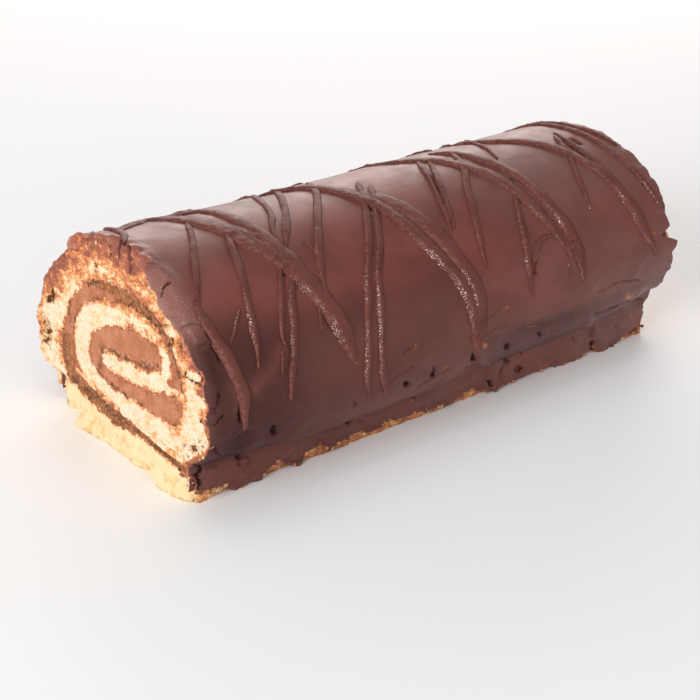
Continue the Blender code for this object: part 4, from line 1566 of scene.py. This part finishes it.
def cut_color(tree, side):
    """Both colours of a cut with one ragged line between them; side is 1 in the sponge."""
    seam, bridge, grainy, high, tone, rubbed, pitted = marks_of(
        tree, "seam", "bridge", "grainy", "high", "tone", "rubbed", "dark")
    seam = seam * side + (noise(tree, 1.7, 5, 24, 0.65) - 0.5) * 5.0 + bridge * 4.0
    # browning of the crumb along the line, wide where the sheet was rolled tight
    patch = remap(noise(tree, 9, 2, 38), 0.42, 0.58)
    wide = remap(high, 46, 53).math("MAXIMUM", grainy * remap(high, 13, 17))
    halo = (seam / (wide * 4.2 + 0.9 + patch * 0.8)).math("MAXIMUM", 0.0).math("POWER", 1.3)
    tone = tone.math("MINIMUM", halo * 0.60 + 0.40)
    color = mix(remap(seam, -0.15, 0.15), cream_color(tree, grainy), crumb_color(tree, tone, high))
    # dark and pale grains on the cream's side
    edge = remap(seam, -2.2, -0.2) * (patch * 0.42 + rubbed * 0.4)
    edge = edge.math("MAXIMUM", rubbed * 0.62) * remap(seam, 1.2, 0.0)
    dark = threshold(edge, noise(tree, 1.4, 5, 32, 0.72), 0.07)
    color = mix(dark * 0.9, color, SEAM_DARK)
    light = rubbed * 0.22 * remap(seam, 1.2, 0.0)
    light = threshold(light, noise(tree, 0.9, 4, 37, 0.7), 0.03)
    color = mix(light * 0.8, color, SEAM_LIGHT)
    # open pits: orange rims, then painted shade inside them
    pits = noise(tree, 1.1, 4, 26, 0.7, 1.7)
    color = mix(threshold(pitted * 1.3, pits, 0.09) * 0.8, color, PIT_RIM)
    color = mix(threshold(pitted * 0.8, pits, 0.07), color, PIT_SHADE)
    depth = remap(high, 9, 12, 0.3, 1.0) * (noise(tree, 0.7, 2, 40) - 0.53)
    return mix(1.0, color, depth * 0.7 + 1.0, "MULTIPLY")


def cut_material(name, roughness, side, bump_size, bump_seed, bump_depth):
    """Material of one layer's cut; side is 1 for the sponge and -1 for the filling."""
    material, tree, inputs = new_material(name, roughness, 0.2)
    connect(cut_color(tree, side), inputs["Base Color"])
    grain = noise(tree, bump_size, 5, bump_seed, 0.65)
    connect(bump(grain, bump_depth), inputs["Normal"])
    return material


def crumb_material():
    """Loose crumbs from pale through browned to chocolate."""
    material, tree, inputs = new_material("loose_crumb", 0.8, 0.25)
    tone, = marks_of(tree, "tone")
    color = mix(remap(tone, 0.2, 0.55), LOOSE_PALE, LOOSE_BROWN)
    color = mix(remap(tone, 0.6, 0.7), color, LOOSE_DARK)
    color = mix(remap(noise(tree, 0.8, 2, 41), 0.4, 0.7, 0.0, 0.4), color, LOOSE_MOTTLE)
    connect(color, inputs["Base Color"])
    connect(bump(noise(tree, 0.6, 3, 42), 0.15), inputs["Normal"])
    return material


# ---------------------------------------------------------------- stage
# Area lights, in metres: name, place, target, size, power, colour.
WHITE = (1.0, 1.0, 1.0)
LIGHTS = (
    ("back_softbox", (0.70, 0.90, 0.34), (0, 0, 0.05), (1.0, 0.42), 8.5, (1.0, 0.93, 0.90)),
    ("top_soft", (0.0, 0.35, 1.4), (0, 0, 0.05), (0.8, 0.8), 2.0, WHITE),
    ("left_key", (-1.0, -0.30, 0.55), (-0.05, 0, 0.04), (0.6, 0.6), 8.2, WHITE),
    ("front_fill", (0.5, -1.2, 0.4), (0, 0, 0.03), (1.2, 0.3), 3.0, WHITE),
)
WORLD_STRENGTH = 0.42
FLOOR_SIZE, FLOOR_COLOR = 6.0, (0.96, 0.96, 0.96)
CAMERA_PLACE = (-0.3762, -0.4415, 0.3281)
CAMERA_DIRECTION = (0.5609, 0.6707, -0.4854)
CAMERA_ROLL = 3.44           # degrees
CAMERA_LENS = 94.0           # mm, on a 36 mm sensor


def aim(item, direction, roll=0.0):
    """Point a light or camera along a direction."""
    turn = Vector(direction).to_track_quat("-Z", "Y")
    item.rotation_mode = "QUATERNION"
    item.rotation_quaternion = turn @ Quaternion((0, 0, 1), math.radians(roll))


def make_light(name, place_at, target, size, power, color):
    data = bpy.data.lights.new(name, "AREA")
    data.shape = "RECTANGLE"
    data.size, data.size_y = size
    data.energy = power
    data.color = color
    light = bpy.data.objects.new(name, data)
    bpy.context.scene.collection.objects.link(light)
    light.location = place_at
    aim(light, Vector(target) - Vector(place_at))


def make_floor():
    bpy.ops.mesh.primitive_plane_add(size=FLOOR_SIZE, location=(0, 0, 0))
    floor = bpy.context.object
    floor.name = "floor"
    material, _, inputs = new_material("floor_paper", 0.9, 0.1)
    connect(FLOOR_COLOR, inputs["Base Color"])
    floor.data.materials.append(material)


def make_camera():
    data = bpy.data.cameras.new("camera")
    data.lens = CAMERA_LENS
    data.sensor_width = 36.0
    data.clip_start, data.clip_end = 0.01, 20.0
    camera = bpy.data.objects.new("camera", data)
    bpy.context.scene.collection.objects.link(camera)
    camera.location = CAMERA_PLACE
    aim(camera, CAMERA_DIRECTION, CAMERA_ROLL)
    bpy.context.scene.camera = camera


def make_stage():
    """Pale floor, soft studio light and the photo's camera."""
    scene = bpy.context.scene
    scene.view_settings.view_transform = "Standard"
    scene.world = bpy.data.worlds.new("studio")
    scene.world.use_nodes = True
    background = scene.world.node_tree.nodes["Background"].inputs
    connect(WHITE, background["Color"])
    connect(WORLD_STRENGTH, background["Strength"])
    make_floor()
    for light in LIGHTS:
        make_light(*light)
    make_camera()


# ---------------------------------------------------------------- build
make_coat(chocolate_material())
make_crumb_and_cream(cut_material("sponge_crumb", 0.85, 1, 1.2, 25, 0.3),
                     cut_material("cocoa_cream", 0.6, -1, 1.6, 34, 0.25))
make_drizzle(drizzle_material())
make_crumbs(crumb_material())
make_stage()
